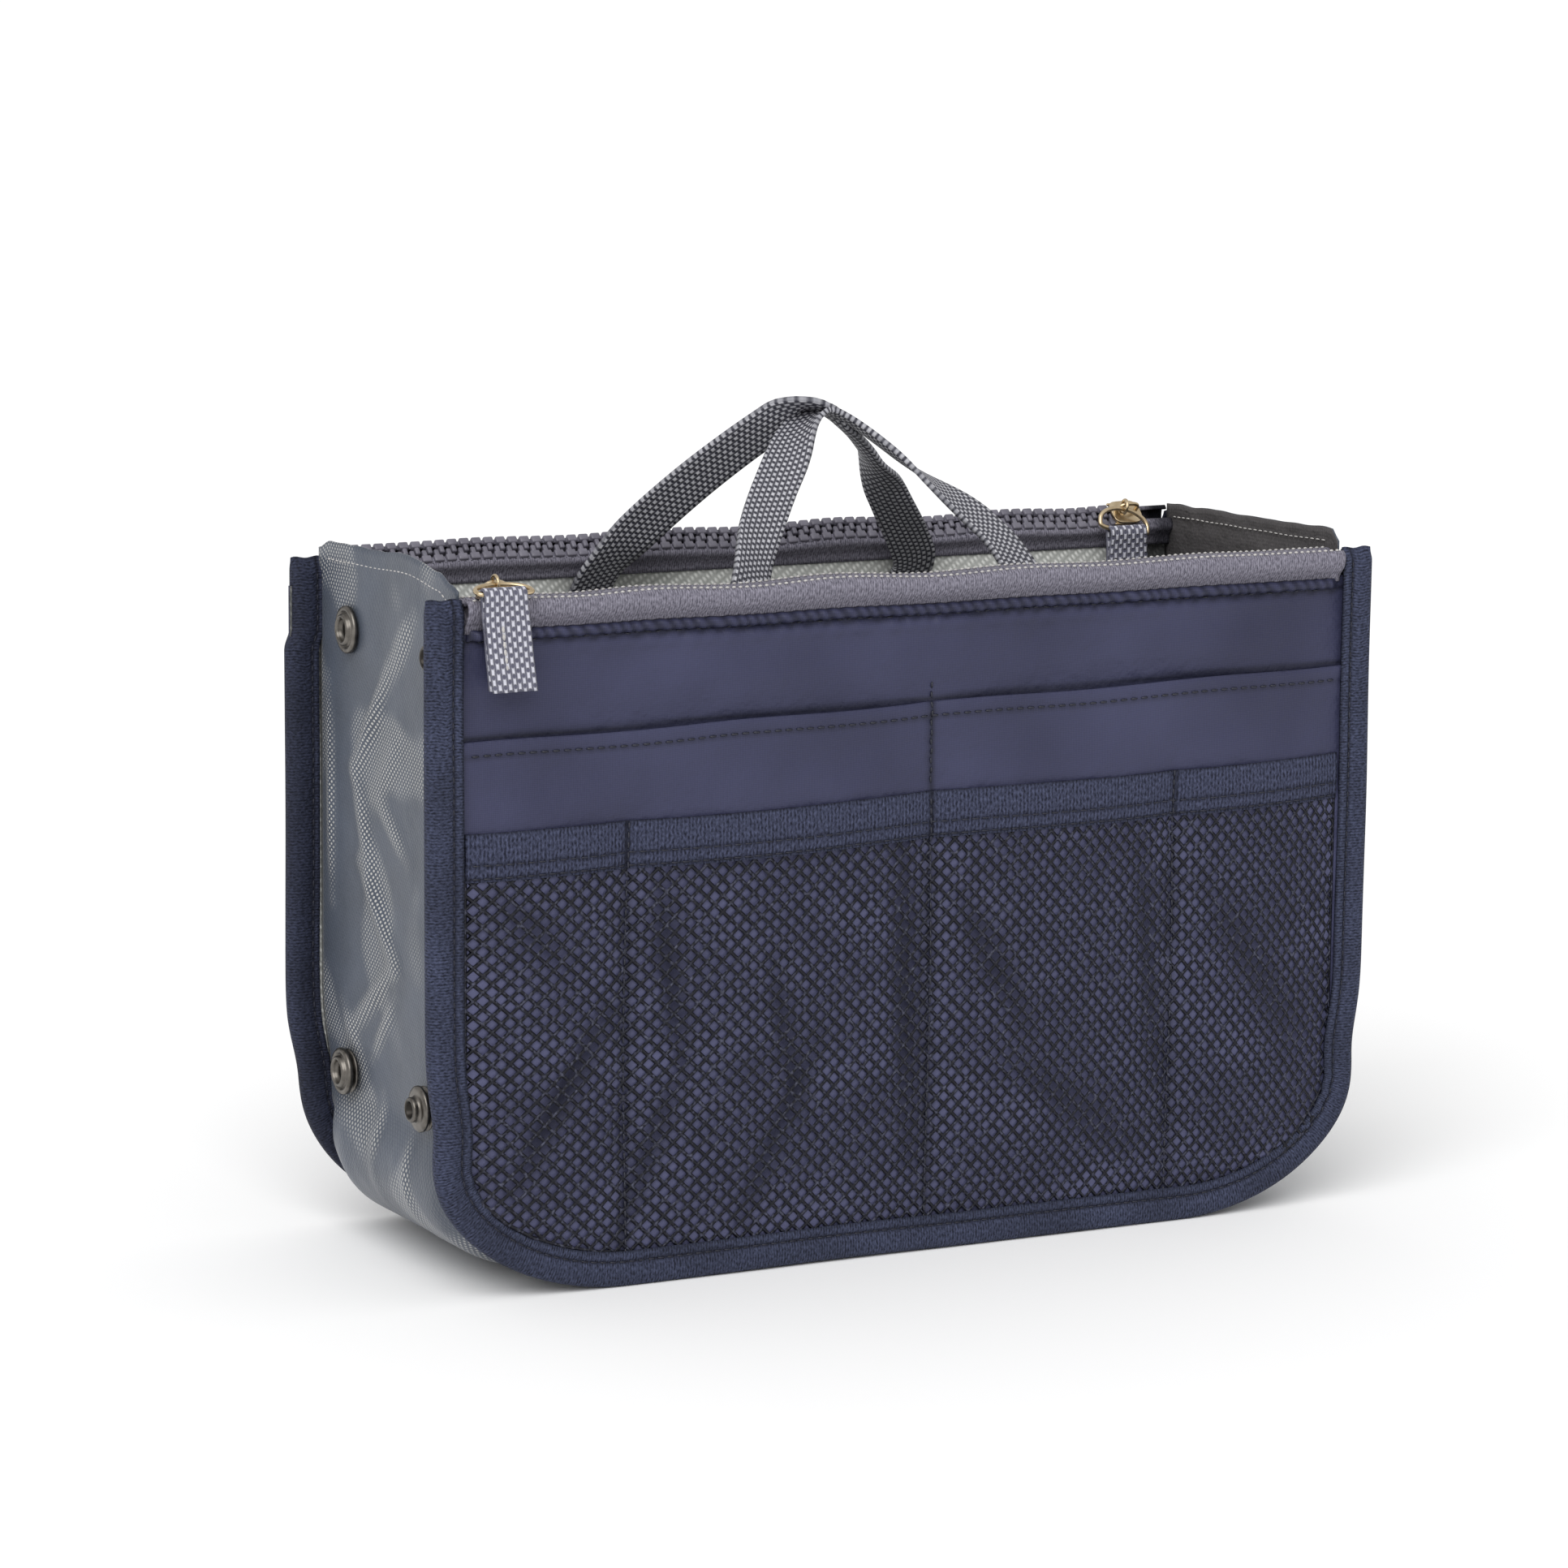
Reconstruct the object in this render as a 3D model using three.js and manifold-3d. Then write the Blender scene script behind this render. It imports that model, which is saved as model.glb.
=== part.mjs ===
// Cosmetic organizer bag: two flat zipped pouches joined by one U-shaped gusset.
// Millimetres. +X right, -Y front, +Z up. The origin is on the table under the middle of the bag.
import * as THREE from "three";
import { mergeVertices } from "three/addons/utils/BufferGeometryUtils.js";
import Module from "manifold-3d";

const wasm = await Module();
wasm.setup();

// Overall sizes of the bag.
const seamLength = 265; // between the two side seams
const bagDepth = 99; // between the outer faces of the front and rear bindings
const bindingTop = 185; // upper ends of the bindings and of the gusset
const zipStand = 7.5; // of those ends over the sewn top edge of the panels and linings
const cornerWidth = 58; // of the rounded lower corners along the bottom, at the bag's edge
const cornerHeight = 42; // and up the sides
const cornerSteps = 8;
const flatSetback = 23.5; // from a binding's outer face to the flat of the gusset's bottom
const sagSteps = 4; // of the gusset's slope between the flat and a binding

// Cloth thicknesses and the clearances between sewn layers.
const bindingCloth = 0.8;
const meshCloth = 0.4;
const pocketCloth = 0.4;
const panelCloth = 0.6;
const liningCloth = 0.4;
const gussetCloth = 0.5;
const tapeCloth = 0.5;
const webbingCloth = 1.4;
const sewnGap = 0.25; // between layers held in one seam
const seatGap = 0.3; // between pieces that rest on each other

// Edge binding and pockets.
const bindingReach = 10; // how far the binding stands out past the seam
const slipPocketTop = 150;
const meshTapeTop = 126;
const meshTapeHeight = 13;
const innerPocketTop = 132;

// Zip chain, in a frame with x along the chain, y across it and z up from it.
const toothPitch = 3.6;
const toothRoot = 1.5;
const toothTip = 1;
const toothHalfHeight = 0.9;
const toothOverlap = 0.5; // how far a tooth reaches past the middle of the chain
const spineInner = 1.5;
const spineOuter = 2.9;
const chainMargin = 3; // between the ends of the chain and the side seams
const frontZipDepth = 4; // from the outer face of the binding to the middle of the chain
const frontZipDrop = 1.7; // from the ends of the bindings down to the middle of the chain
const rearZipDepth = 5.6;
const rearZipDrop = 0.4;

// Zip slider.
const sliderLength = 9.5;
const sliderTailHalf = 3.9;
const sliderNoseHalf = 4.2;
const plateThickness = 0.8;
const toothClearance = 0.35; // over and under the teeth in the channel
const flangeThickness = 0.6;
const dividerWidth = 1.6;
const dividerLength = 1.8;
const dividerSetback = 0.55; // from the nose of the plates
const bailWire = 1.2;
const bailHeight = 3.3; // axis of the bail above the top plate

// Pull: link, D-ring and webbing tab.
const linkWire = 0.9;
const linkBore = 3.2;
const ringWire = 1.3;
const ringWidth = 15.3; // between the middles of the ring's sides
const ringArch = 4.6; // rounded part next to the link
const ringFoot = 2.25; // squarer part next to the bar
const wireGap = 0.25; // play between linked wires
const tabWidth = 12.6;
const tabLength = 24;
const tabPly = 0.8;
const tabNeck = 5; // below the bar the two plies lie together

// Handles.
const strapWidth = 13;
const footHeight = 25;
const pivotDrop = 8.5; // from the panel's top to the line where the strap leaves its sewn feet
const footReach = 42; // from the middle of the front handle to the middle of a foot
const footStagger = 8; // how much further out the rear handle's feet stand
const archRise = 64; // from the front handle's feet to its top
const archPassing = 10; // how much further the rear handle rises, to pass over the front one
const handleShift = 4; // of both handles to the left, seen from the front
const strapSteps = 32;

// Snaps on the gusset.
const upperSnapDrop = 17; // from the ends of the bindings down to the upper snaps
const upperStudDepth = 32; // from the middle of the gusset towards the front
const upperSocketDepth = 25; // from the middle of the gusset towards the rear
const lowerSnapHeight = 47;
const lowerStudDepth = 22;
const lowerSocketDepth = 29;
const snapRadius = 6.4;
const snapPostRadius = 1.7;
const snapSegments = 12;

// What differs between the front and the rear pouch: how far the slider stands from the side
// seam, where the zip runs and how far it leans inwards, how the ring hangs, and the size of the
// handle, of which the rear one passes over the front one.
const pouches = {
  front: {
    turn: 0,
    parked: 10,
    zip: { depth: frontZipDepth, drop: frontZipDrop, lean: 0 },
    ringAngle: -65,
    handle: { half: footReach, rise: archRise, lean: 40, middle: -handleShift },
  },
  rear: {
    turn: Math.PI,
    parked: 15.5,
    zip: { depth: rearZipDepth, drop: rearZipDrop, lean: 45 },
    ringAngle: 12,
    handle: {
      half: footReach + footStagger,
      rise: archRise + archPassing,
      lean: 38,
      middle: handleShift,
    },
  },
};

// Depth of each layer behind the outer face of the binding, worked out from the cloths.
const layer = {};
let stack = bindingCloth;
for (const [name, cloth] of [
  ["mesh", meshCloth],
  ["slip", pocketCloth],
  ["panel", panelCloth],
  ["lining", liningCloth],
  ["flange", gussetCloth],
]) {
  layer[name] = stack + sewnGap;
  stack = layer[name] + cloth;
}
const bindingDepth = stack + sewnGap + bindingCloth;
const outerFace = -bagDepth / 2; // y of the outer face of the front binding
const layerInset = bindingCloth + seatGap; // edge of a sewn layer inside the binding
const liningFace = layer.lining + liningCloth;
const chainEnd = seamLength / 2 - chainMargin;
const panelTop = bindingTop - zipStand;
const handlePivot = panelTop - pivotDrop;
const toRadians = Math.PI / 180;

// Colour, roughness and metalness of each material.
const finish = {
  navyNylon: { color: 0x3f4264, roughness: 0.62, metalness: 0 },
  navyMesh: { color: 0x2a2d42, roughness: 0.8, metalness: 0 },
  navyBinding: { color: 0x2f3a63, roughness: 0.7, metalness: 0 },
  greyLining: { color: 0x8f9189, roughness: 0.85, metalness: 0 },
  greyGusset: { color: 0x6a757d, roughness: 0.6, metalness: 0 },
  zipTape: { color: 0x5f5e68, roughness: 0.85, metalness: 0 },
  zipTeeth: { color: 0x55545e, roughness: 0.45, metalness: 0 },
  paleGold: { color: 0xc0aa88, roughness: 0.3, metalness: 1 },
  webbing: { color: 0x8a8a92, roughness: 0.85, metalness: 0 },
  gunmetal: { color: 0x5a5a5a, roughness: 0.35, metalness: 1 },
};
const materials = {};
for (const [name, values] of Object.entries(finish)) {
  materials[name] = new THREE.MeshStandardMaterial(values);
}

// A geometry as a manifold solid, so that pieces can be joined and cut.
function solid(geometry) {
  const bare = new THREE.BufferGeometry();
  bare.setAttribute("position", geometry.getAttribute("position"));
  if (geometry.index) bare.setIndex(geometry.index);
  const merged = mergeVertices(bare, 1e-4);
  return new wasm.Manifold(
    new wasm.Mesh({
      numProp: 3,
      vertProperties: Float32Array.from(merged.attributes.position.array),
      triVerts: Uint32Array.from(merged.index.array),
    }),
  );
}

// The triangles of a manifold solid as a three.js geometry.
function geometryOf(body) {
  const made = body.getMesh();
  const geometry = new THREE.BufferGeometry();
  geometry.setAttribute("position", new THREE.BufferAttribute(made.vertProperties, 3));
  geometry.setIndex(new THREE.BufferAttribute(made.triVerts, 1));
  return geometry;
}

function union(geometries) {
  return geometryOf(geometries.map(solid).reduce((all, next) => all.add(next)));
}

function addMesh(parent, name, geometry, material) {
  const mesh = new THREE.Mesh(geometry, materials[material]);
  mesh.name = name;
  parent.add(mesh);
  return mesh;
}

// A flat shape drawn in x and z, stood up as a sheet whose outer face is at the given depth.
function sheet(shape, depth, thickness) {
  const geometry = new THREE.ExtrudeGeometry(shape, {
    depth: thickness,
    bevelEnabled: false,
    curveSegments: cornerSteps,
  });
  return geometry.rotateX(Math.PI / 2).translate(0, outerFace + depth + thickness, 0);
}

// A profile drawn in y and z, drawn out along x.
function alongX(shape, from, to) {
  const geometry = new THREE.ExtrudeGeometry(shape, { depth: to - from, bevelEnabled: false });
  const turn = new THREE.Matrix4().makeBasis(
    new THREE.Vector3(0, 1, 0),
    new THREE.Vector3(0, 0, 1),
    new THREE.Vector3(1, 0, 0),
  );
  return geometry.applyMatrix4(turn).translate(from, 0, 0);
}

// A profile drawn in x and y, drawn out along z from one height to another.
function alongZ(shape, from, to) {
  const geometry = new THREE.ExtrudeGeometry(shape, {
    depth: to - from,
    bevelEnabled: false,
    curveSegments: cornerSteps,
  });
  return geometry.translate(0, 0, from);
}

// The points of a line moved sideways by a distance, with its corners mitred.
function offsetLine(points, distance) {
  return points.map((point, i) => {
    const before = points[Math.max(i - 1, 0)];
    const after = points[Math.min(i + 1, points.length - 1)];
    const arriving = point.clone().sub(i > 0 ? before : point);
    const leaving = after.clone().sub(point);
    const first = (i > 0 ? arriving : leaving).normalize();
    const second = (i < points.length - 1 ? leaving : arriving).normalize();
    const side = new THREE.Vector2(-first.y - second.y, first.x + second.x).normalize();
    const stretch = 1 / (-first.y * side.x + first.x * side.y);
    return side.multiplyScalar(distance * stretch).add(point);
  });
}

// A strip of cloth seen on its edge: a line given a thickness.
function stripShape(points, thickness) {
  const line = points.map(([x, y]) => new THREE.Vector2(x, y));
  const left = offsetLine(line, thickness / 2);
  const right = offsetLine(line, -thickness / 2);
  return new THREE.Shape([...left, ...right.reverse()]);
}

// A thin box bent by a function: place(i, j, side) gives the point of step i along it and
// step j across it, on its lower face (side -1) or its upper face (side 1).
function bentSheet(steps, rows, place) {
  const geometry = new THREE.BoxGeometry(steps, 2, rows, steps, 1, rows);
  const position = geometry.getAttribute("position");
  for (let k = 0; k < position.count; k++) {
    const i = Math.round(position.getX(k) + steps / 2);
    const j = Math.round(position.getZ(k) + rows / 2);
    const point = place(i, j, Math.sign(position.getY(k)));
    position.setXYZ(k, point.x, point.y, point.z);
  }
  return geometry;
}

function smoothstep(from, to, value) {
  return THREE.MathUtils.smoothstep(value, from, to);
}

// Outline of a sewn layer, inset from the outer edge of the binding: straight sides, rounded
// lower corners and a straight top.
function layerOutline(inset, top) {
  const x = seamLength / 2 + bindingReach - inset;
  const wide = cornerWidth - inset;
  const high = cornerHeight - inset;
  const shape = new THREE.Shape();
  shape.moveTo(-x, top);
  shape.lineTo(-x, cornerHeight);
  shape.absellipse(wide - x, cornerHeight, wide, high, Math.PI, 1.5 * Math.PI);
  shape.absellipse(x - wide, cornerHeight, wide, high, 1.5 * Math.PI, 2 * Math.PI);
  shape.lineTo(x, top);
  return shape;
}

// A U-shaped band between two insets, for the legs and the fold of the binding.
function bindingBand(outerInset, innerInset) {
  const outer = layerOutline(outerInset, bindingTop).getPoints(cornerSteps);
  const inner = layerOutline(innerInset, bindingTop).getPoints(cornerSteps);
  return new THREE.Shape([...outer, ...inner.reverse()]);
}

// Edge binding: a tape folded into a channel over the raw edges. Its inner leg stops short of
// the gusset, which turns out into the channel there.
function bindingGeometry() {
  const innerLeg = bindingReach - gussetCloth - seatGap;
  return union([
    sheet(bindingBand(0, bindingReach), 0, bindingCloth),
    sheet(bindingBand(0, bindingCloth), 0, bindingDepth),
    sheet(bindingBand(0, innerLeg), bindingDepth - bindingCloth, bindingCloth),
  ]);
}

// Woven tape along the mouth of the mesh pocket, between the legs of the binding.
function meshTapeGeometry() {
  const half = seamLength / 2 - seatGap;
  const thickness = layer.mesh - 2 * seatGap;
  return new THREE.BoxGeometry(2 * half, thickness, meshTapeHeight).translate(
    0,
    outerFace + seatGap + thickness / 2,
    meshTapeTop - meshTapeHeight / 2,
  );
}

// One row of zip teeth: a spine along the tape's edge with tapered teeth that reach past the
// middle of the chain. side is -1 for the outer row and 1 for the inner one, half a pitch on.
function teethGeometry(side, start) {
  const first = start + toothRoot / 2 + (side > 0 ? toothPitch / 2 : 0);
  const count = Math.floor((chainEnd - toothRoot / 2 - first) / toothPitch) + 1;
  const points = [
    [start, spineOuter],
    [start, spineInner],
  ];
  for (let i = 0; i < count; i++) {
    const middle = first + i * toothPitch;
    points.push([middle - toothRoot / 2, spineInner]);
    points.push([middle - toothTip / 2, -toothOverlap]);
    points.push([middle + toothTip / 2, -toothOverlap]);
    points.push([middle + toothRoot / 2, spineInner]);
  }
  points.push([chainEnd, spineInner], [chainEnd, spineOuter]);
  const shape = new THREE.Shape(points.map(([x, y]) => new THREE.Vector2(x, side * y)));
  return alongZ(shape, -toothHalfHeight, toothHalfHeight);
}

// Half heights and half widths of the slider's channel.
const channelHalf = toothHalfHeight + toothClearance;
const plateTop = channelHalf + plateThickness;
const bailAxis = plateTop + bailHeight;
const tapeSlot = tapeCloth / 2 + seatGap;
const tapeEdge = spineOuter + seatGap;
const tapeTurn = sliderNoseHalf + seatGap + tapeCloth / 2;
const tapeDrop = plateTop + seatGap + tapeCloth / 2;

// Outline of the slider's plates, seen from above: a rounded nose towards -x, with a shallow
// notch over the divider, and a straight tail.
function plateShape() {
  const tail = sliderLength / 2;
  const shape = new THREE.Shape();
  shape.moveTo(tail, -sliderTailHalf + 0.6);
  shape.lineTo(tail, sliderTailHalf - 0.6);
  shape.lineTo(tail - 0.6, sliderTailHalf);
  shape.lineTo(0, sliderTailHalf);
  shape.quadraticCurveTo(-1.5, sliderNoseHalf, -2.6, sliderNoseHalf);
  shape.quadraticCurveTo(-tail, sliderNoseHalf, -tail, 2);
  shape.quadraticCurveTo(-tail + 0.5, 0, -tail, -2);
  shape.quadraticCurveTo(-tail, -sliderNoseHalf, -2.6, -sliderNoseHalf);
  shape.quadraticCurveTo(-1.5, -sliderNoseHalf, 0, -sliderTailHalf);
  shape.lineTo(tail - 0.6, -sliderTailHalf);
  return shape;
}

// Zip slider: two plates joined by the divider that parts the teeth, side flanges that close on
// the tape, and a wire bail along the top.
function sliderGeometry() {
  const tail = sliderLength / 2;
  const pieces = [
    alongZ(plateShape(), channelHalf, plateTop),
    alongZ(plateShape(), -plateTop, -channelHalf),
  ];
  const divider = new THREE.Shape();
  const dividerTail = -tail + dividerSetback + dividerLength;
  divider.moveTo(-tail + dividerSetback, -dividerWidth / 2);
  divider.lineTo(dividerTail - dividerWidth / 2, -dividerWidth / 2);
  divider.lineTo(dividerTail, 0);
  divider.lineTo(dividerTail - dividerWidth / 2, dividerWidth / 2);
  divider.lineTo(-tail + dividerSetback, dividerWidth / 2);
  pieces.push(alongZ(divider, -plateTop + plateThickness / 2, plateTop - plateThickness / 2));
  const flangeHeight = channelHalf + plateThickness / 2 - tapeSlot;
  const flangeLength = tail - 0.8;
  for (const side of [-1, 1]) {
    for (const face of [-1, 1]) {
      const flange = new THREE.BoxGeometry(flangeLength, flangeThickness, flangeHeight);
      flange.translate(
        flangeLength / 2,
        side * (sliderTailHalf - flangeThickness / 2),
        face * (tapeSlot + flangeHeight / 2),
      );
      pieces.push(flange);
    }
  }
  const bailRoot = plateTop - plateThickness / 2;
  const bailLine = new THREE.CatmullRomCurve3(
    [
      [-3, bailRoot],
      [-2.9, bailRoot + 1.2],
      [-1.4, bailAxis],
      [1.4, bailAxis],
      [3.1, bailRoot + 1.2],
      [3.3, bailRoot],
    ].map(([x, z]) => new THREE.Vector3(x, 0, z)),
    false,
    "centripetal",
  );
  const section = new THREE.Shape().absarc(0, 0, bailWire / 2, 0, 2 * Math.PI, false);
  pieces.push(
    new THREE.ExtrudeGeometry(section, { steps: 12, curveSegments: 4, extrudePath: bailLine }),
  );
  return union(pieces);
}

// Centre line of one zip tape, seen on its edge: from the teeth it runs flat through the
// slider, turns down past it and comes in to the top edge of the layer that it is sewn to.
function zipTapeLine(zip, side, seamDepth) {
  const lean = zip.lean * toRadians;
  const place = (across, up) => [
    outerFace + zip.depth + across * Math.cos(lean) + up * Math.sin(lean),
    bindingTop - zip.drop - across * Math.sin(lean) + up * Math.cos(lean),
  ];
  return [
    place(side * tapeEdge, 0),
    place(side * (tapeTurn - 0.15), 0),
    place(side * tapeTurn, -0.15),
    place(side * tapeTurn, -tapeDrop),
    [outerFace + seamDepth, panelTop + seatGap],
  ];
}

// A point of the D-ring's middle line for an angle round it, the link's end at the origin and
// the bar towards -z: an ellipse above, a squarer curve below.
function ringPoint(angle) {
  const sharpness = Math.sin(angle) < 0 ? 5 : 2;
  const rise = Math.sin(angle) < 0 ? ringFoot : ringArch;
  const part = (value) => Math.sign(value) * Math.abs(value) ** (2 / sharpness);
  return new THREE.Vector2(
    (ringWidth / 2) * part(Math.cos(angle)),
    rise * part(Math.sin(angle)) - ringArch,
  );
}

function ringGeometry() {
  const sides = 6;
  const steps = 28;
  const geometry = new THREE.TorusGeometry(1, 0.5, sides, steps);
  const position = geometry.getAttribute("position");
  const small = 1e-3;
  for (let k = 0; k < position.count; k++) {
    const angle = Math.atan2(position.getY(k), position.getX(k));
    const reach = (Math.hypot(position.getX(k), position.getY(k)) - 1) * ringWire;
    const along = ringPoint(angle + small).sub(ringPoint(angle - small)).normalize();
    const middle = ringPoint(angle);
    position.setXYZ(
      k,
      middle.x + along.y * reach,
      -position.getZ(k) * ringWire,
      middle.y - along.x * reach,
    );
  }
  return geometry;
}

// Pull tab: webbing folded over the bar of the ring, its two plies sewn together below it.
function pullTabGeometry() {
  const bend = ringWire / 2 + 0.35 + tabPly / 2;
  const apart = tabPly / 2 + sewnGap / 2;
  const arc = [];
  for (let i = 0; i <= 8; i++) {
    const angle = Math.PI - (i * Math.PI) / 8;
    arc.push([bend * Math.cos(angle), bend * Math.sin(angle)]);
  }
  const line = [[-apart, -tabLength], [-apart, -tabNeck], ...arc, [apart, -tabNeck], [apart, -tabLength]];
  return alongX(stripShape(line, tabPly), -tabWidth / 2, tabWidth / 2);
}

// Handle strap, from one sewn foot over the top to the other. It leaves the feet flat against
// the lining and turns a quarter on its way up, so it lies across at the top.
function strapGeometry({ half, rise }) {
  const leg = new THREE.CubicBezierCurve(
    new THREE.Vector2(-half, 0),
    new THREE.Vector2(-0.97 * half, 0.36 * rise),
    new THREE.Vector2(-0.34 * half, 0.98 * rise),
    new THREE.Vector2(0, rise),
  );
  const linePoint = (share) => {
    const point = leg.getPoint(1 - Math.abs(1 - 2 * share));
    return new THREE.Vector3(share > 0.5 ? -point.x : point.x, 0, point.y);
  };
  return bentSheet(strapSteps, 1, (i, j, side) => {
    const share = i / strapSteps;
    const middle = linePoint(share);
    const along = linePoint(Math.min(share + 0.01, 1)).sub(linePoint(Math.max(share - 0.01, 0)));
    along.normalize();
    const turned = (Math.PI / 2) * smoothstep(0.1, 0.7, middle.z / rise);
    const across = new THREE.Vector3(
      Math.cos(turned) * along.z,
      Math.sin(turned),
      -Math.cos(turned) * along.x,
    );
    const normal = across.clone().cross(along);
    return middle
      .addScaledVector(across, (j - 0.5) * strapWidth)
      .addScaledVector(normal, (side * webbingCloth) / 2);
  });
}

// Sewn foot of a handle: the end of the webbing, flat on the lining.
function footGeometry(x) {
  const top = handlePivot - webbingCloth / 2 - seatGap;
  return new THREE.BoxGeometry(strapWidth, webbingCloth, footHeight).translate(
    x,
    outerFace + liningFace + seatGap + webbingCloth / 2,
    top - footHeight / 2,
  );
}

// One pouch with its zip and handle, built as the front one.
function buildPouch(prefix, { turn, parked, zip, ringAngle, handle }) {
  const sliderX = parked - seamLength / 2;
  const zipHeight = bindingTop - zip.drop;
  const pouch = new THREE.Group();
  pouch.rotation.z = turn;
  const add = (name, geometry, material, parent = pouch) =>
    addMesh(parent, prefix + "_" + name, geometry, material);

  add("outer_panel", sheet(layerOutline(layerInset, panelTop), layer.panel, panelCloth), "navyNylon");
  add("slip_pocket", sheet(layerOutline(layerInset, slipPocketTop), layer.slip, pocketCloth), "navyNylon");
  const meshTop = meshTapeTop - meshTapeHeight / 2;
  add("mesh_pocket", sheet(layerOutline(layerInset, meshTop), layer.mesh, meshCloth), "navyMesh");
  add("mesh_top_tape", meshTapeGeometry(), "navyBinding");
  add("lining_panel", sheet(layerOutline(layerInset, panelTop), layer.lining, liningCloth), "greyLining");
  const innerPocket = layerOutline(bindingReach + seatGap, innerPocketTop);
  add("inner_pocket", sheet(innerPocket, liningFace + sewnGap, pocketCloth), "greyLining");
  add("edge_binding", bindingGeometry(), "navyBinding");

  const tapeHalf = seamLength / 2 - seatGap;
  const outerSeam = layer.panel + panelCloth / 2;
  const innerSeam = layer.lining + liningCloth / 2;
  for (const [name, side, seam] of [["outer", -1, outerSeam], ["inner", 1, innerSeam]]) {
    const shape = stripShape(zipTapeLine(zip, side, seam), tapeCloth);
    add("zip_tape_" + name, alongX(shape, -tapeHalf, tapeHalf), "zipTape");
  }

  const chain = new THREE.Group();
  chain.position.set(0, outerFace + zip.depth, zipHeight);
  chain.rotation.x = -zip.lean * toRadians;
  pouch.add(chain);
  const dividerTail = sliderX - sliderLength / 2 + dividerSetback + dividerLength;
  for (const [name, side] of [["outer", -1], ["inner", 1]]) {
    add("zip_teeth_" + name, teethGeometry(side, dividerTail + 2 * seatGap), "zipTeeth", chain);
  }
  add("zip_slider", sliderGeometry(), "paleGold", chain).position.x = sliderX;

  // The pull hangs on the bail and turns about it: first the link, then the ring, then the tab.
  const bailDepth = zip.depth + bailAxis * Math.sin(zip.lean * toRadians);
  const bailTop = zipHeight + bailAxis * Math.cos(zip.lean * toRadians);
  const pull = new THREE.Group();
  pull.position.set(sliderX, outerFace + bailDepth, bailTop);
  pull.rotation.x = ringAngle * toRadians;
  pouch.add(pull);
  const linkMiddle = linkBore / 2 - wireGap - bailWire / 2;
  const ringTop = linkMiddle + linkBore / 2 - wireGap - ringWire / 2;
  const link = new THREE.TorusGeometry((linkBore + linkWire) / 2, linkWire / 2, 6, 14);
  add("zip_link", link.rotateY(Math.PI / 2), "paleGold", pull).position.z = -linkMiddle;
  add("zip_ring", ringGeometry(), "paleGold", pull).position.z = -ringTop;
  const barReach = ringTop + ringArch + ringFoot;
  add("zip_pull_tab", pullTabGeometry(), "webbing").position.set(
    sliderX,
    outerFace + bailDepth + barReach * Math.sin(ringAngle * toRadians),
    bailTop - barReach * Math.cos(ringAngle * toRadians),
  );

  const strap = new THREE.Group();
  strap.position.set(
    handle.middle,
    outerFace + liningFace + seatGap + webbingCloth / 2,
    handlePivot,
  );
  strap.rotation.x = -handle.lean * toRadians;
  pouch.add(strap);
  add("handle", strapGeometry(handle), "webbing", strap);
  add("handle_foot_left", footGeometry(handle.middle - handle.half), "webbing");
  add("handle_foot_right", footGeometry(handle.middle + handle.half), "webbing");
  return pouch;
}

// Points along the seam line of the gusset with the direction that points out of the bag.
function seamStations(inset) {
  const x = seamLength / 2 + bindingReach - inset;
  const wide = cornerWidth - inset;
  const high = cornerHeight - inset;
  const stations = [];
  const sideHeights = [bindingTop, (bindingTop + cornerHeight) / 2];
  const corner = (middle, from) => {
    for (let i = 0; i <= cornerSteps; i++) {
      const angle = from + (i / cornerSteps) * (Math.PI / 2);
      const round = new THREE.Vector2(Math.cos(angle), Math.sin(angle));
      const out = new THREE.Vector2(round.x / wide, round.y / high).normalize();
      stations.push({ x: middle + wide * round.x, z: cornerHeight + high * round.y, out });
    }
  };
  for (const z of sideHeights) stations.push({ x: -x, z, out: new THREE.Vector2(-1, 0) });
  corner(wide - x, Math.PI);
  corner(x - wide, 1.5 * Math.PI);
  for (const z of sideHeights.reverse()) stations.push({ x, z, out: new THREE.Vector2(1, 0) });
  return stations;
}

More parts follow.
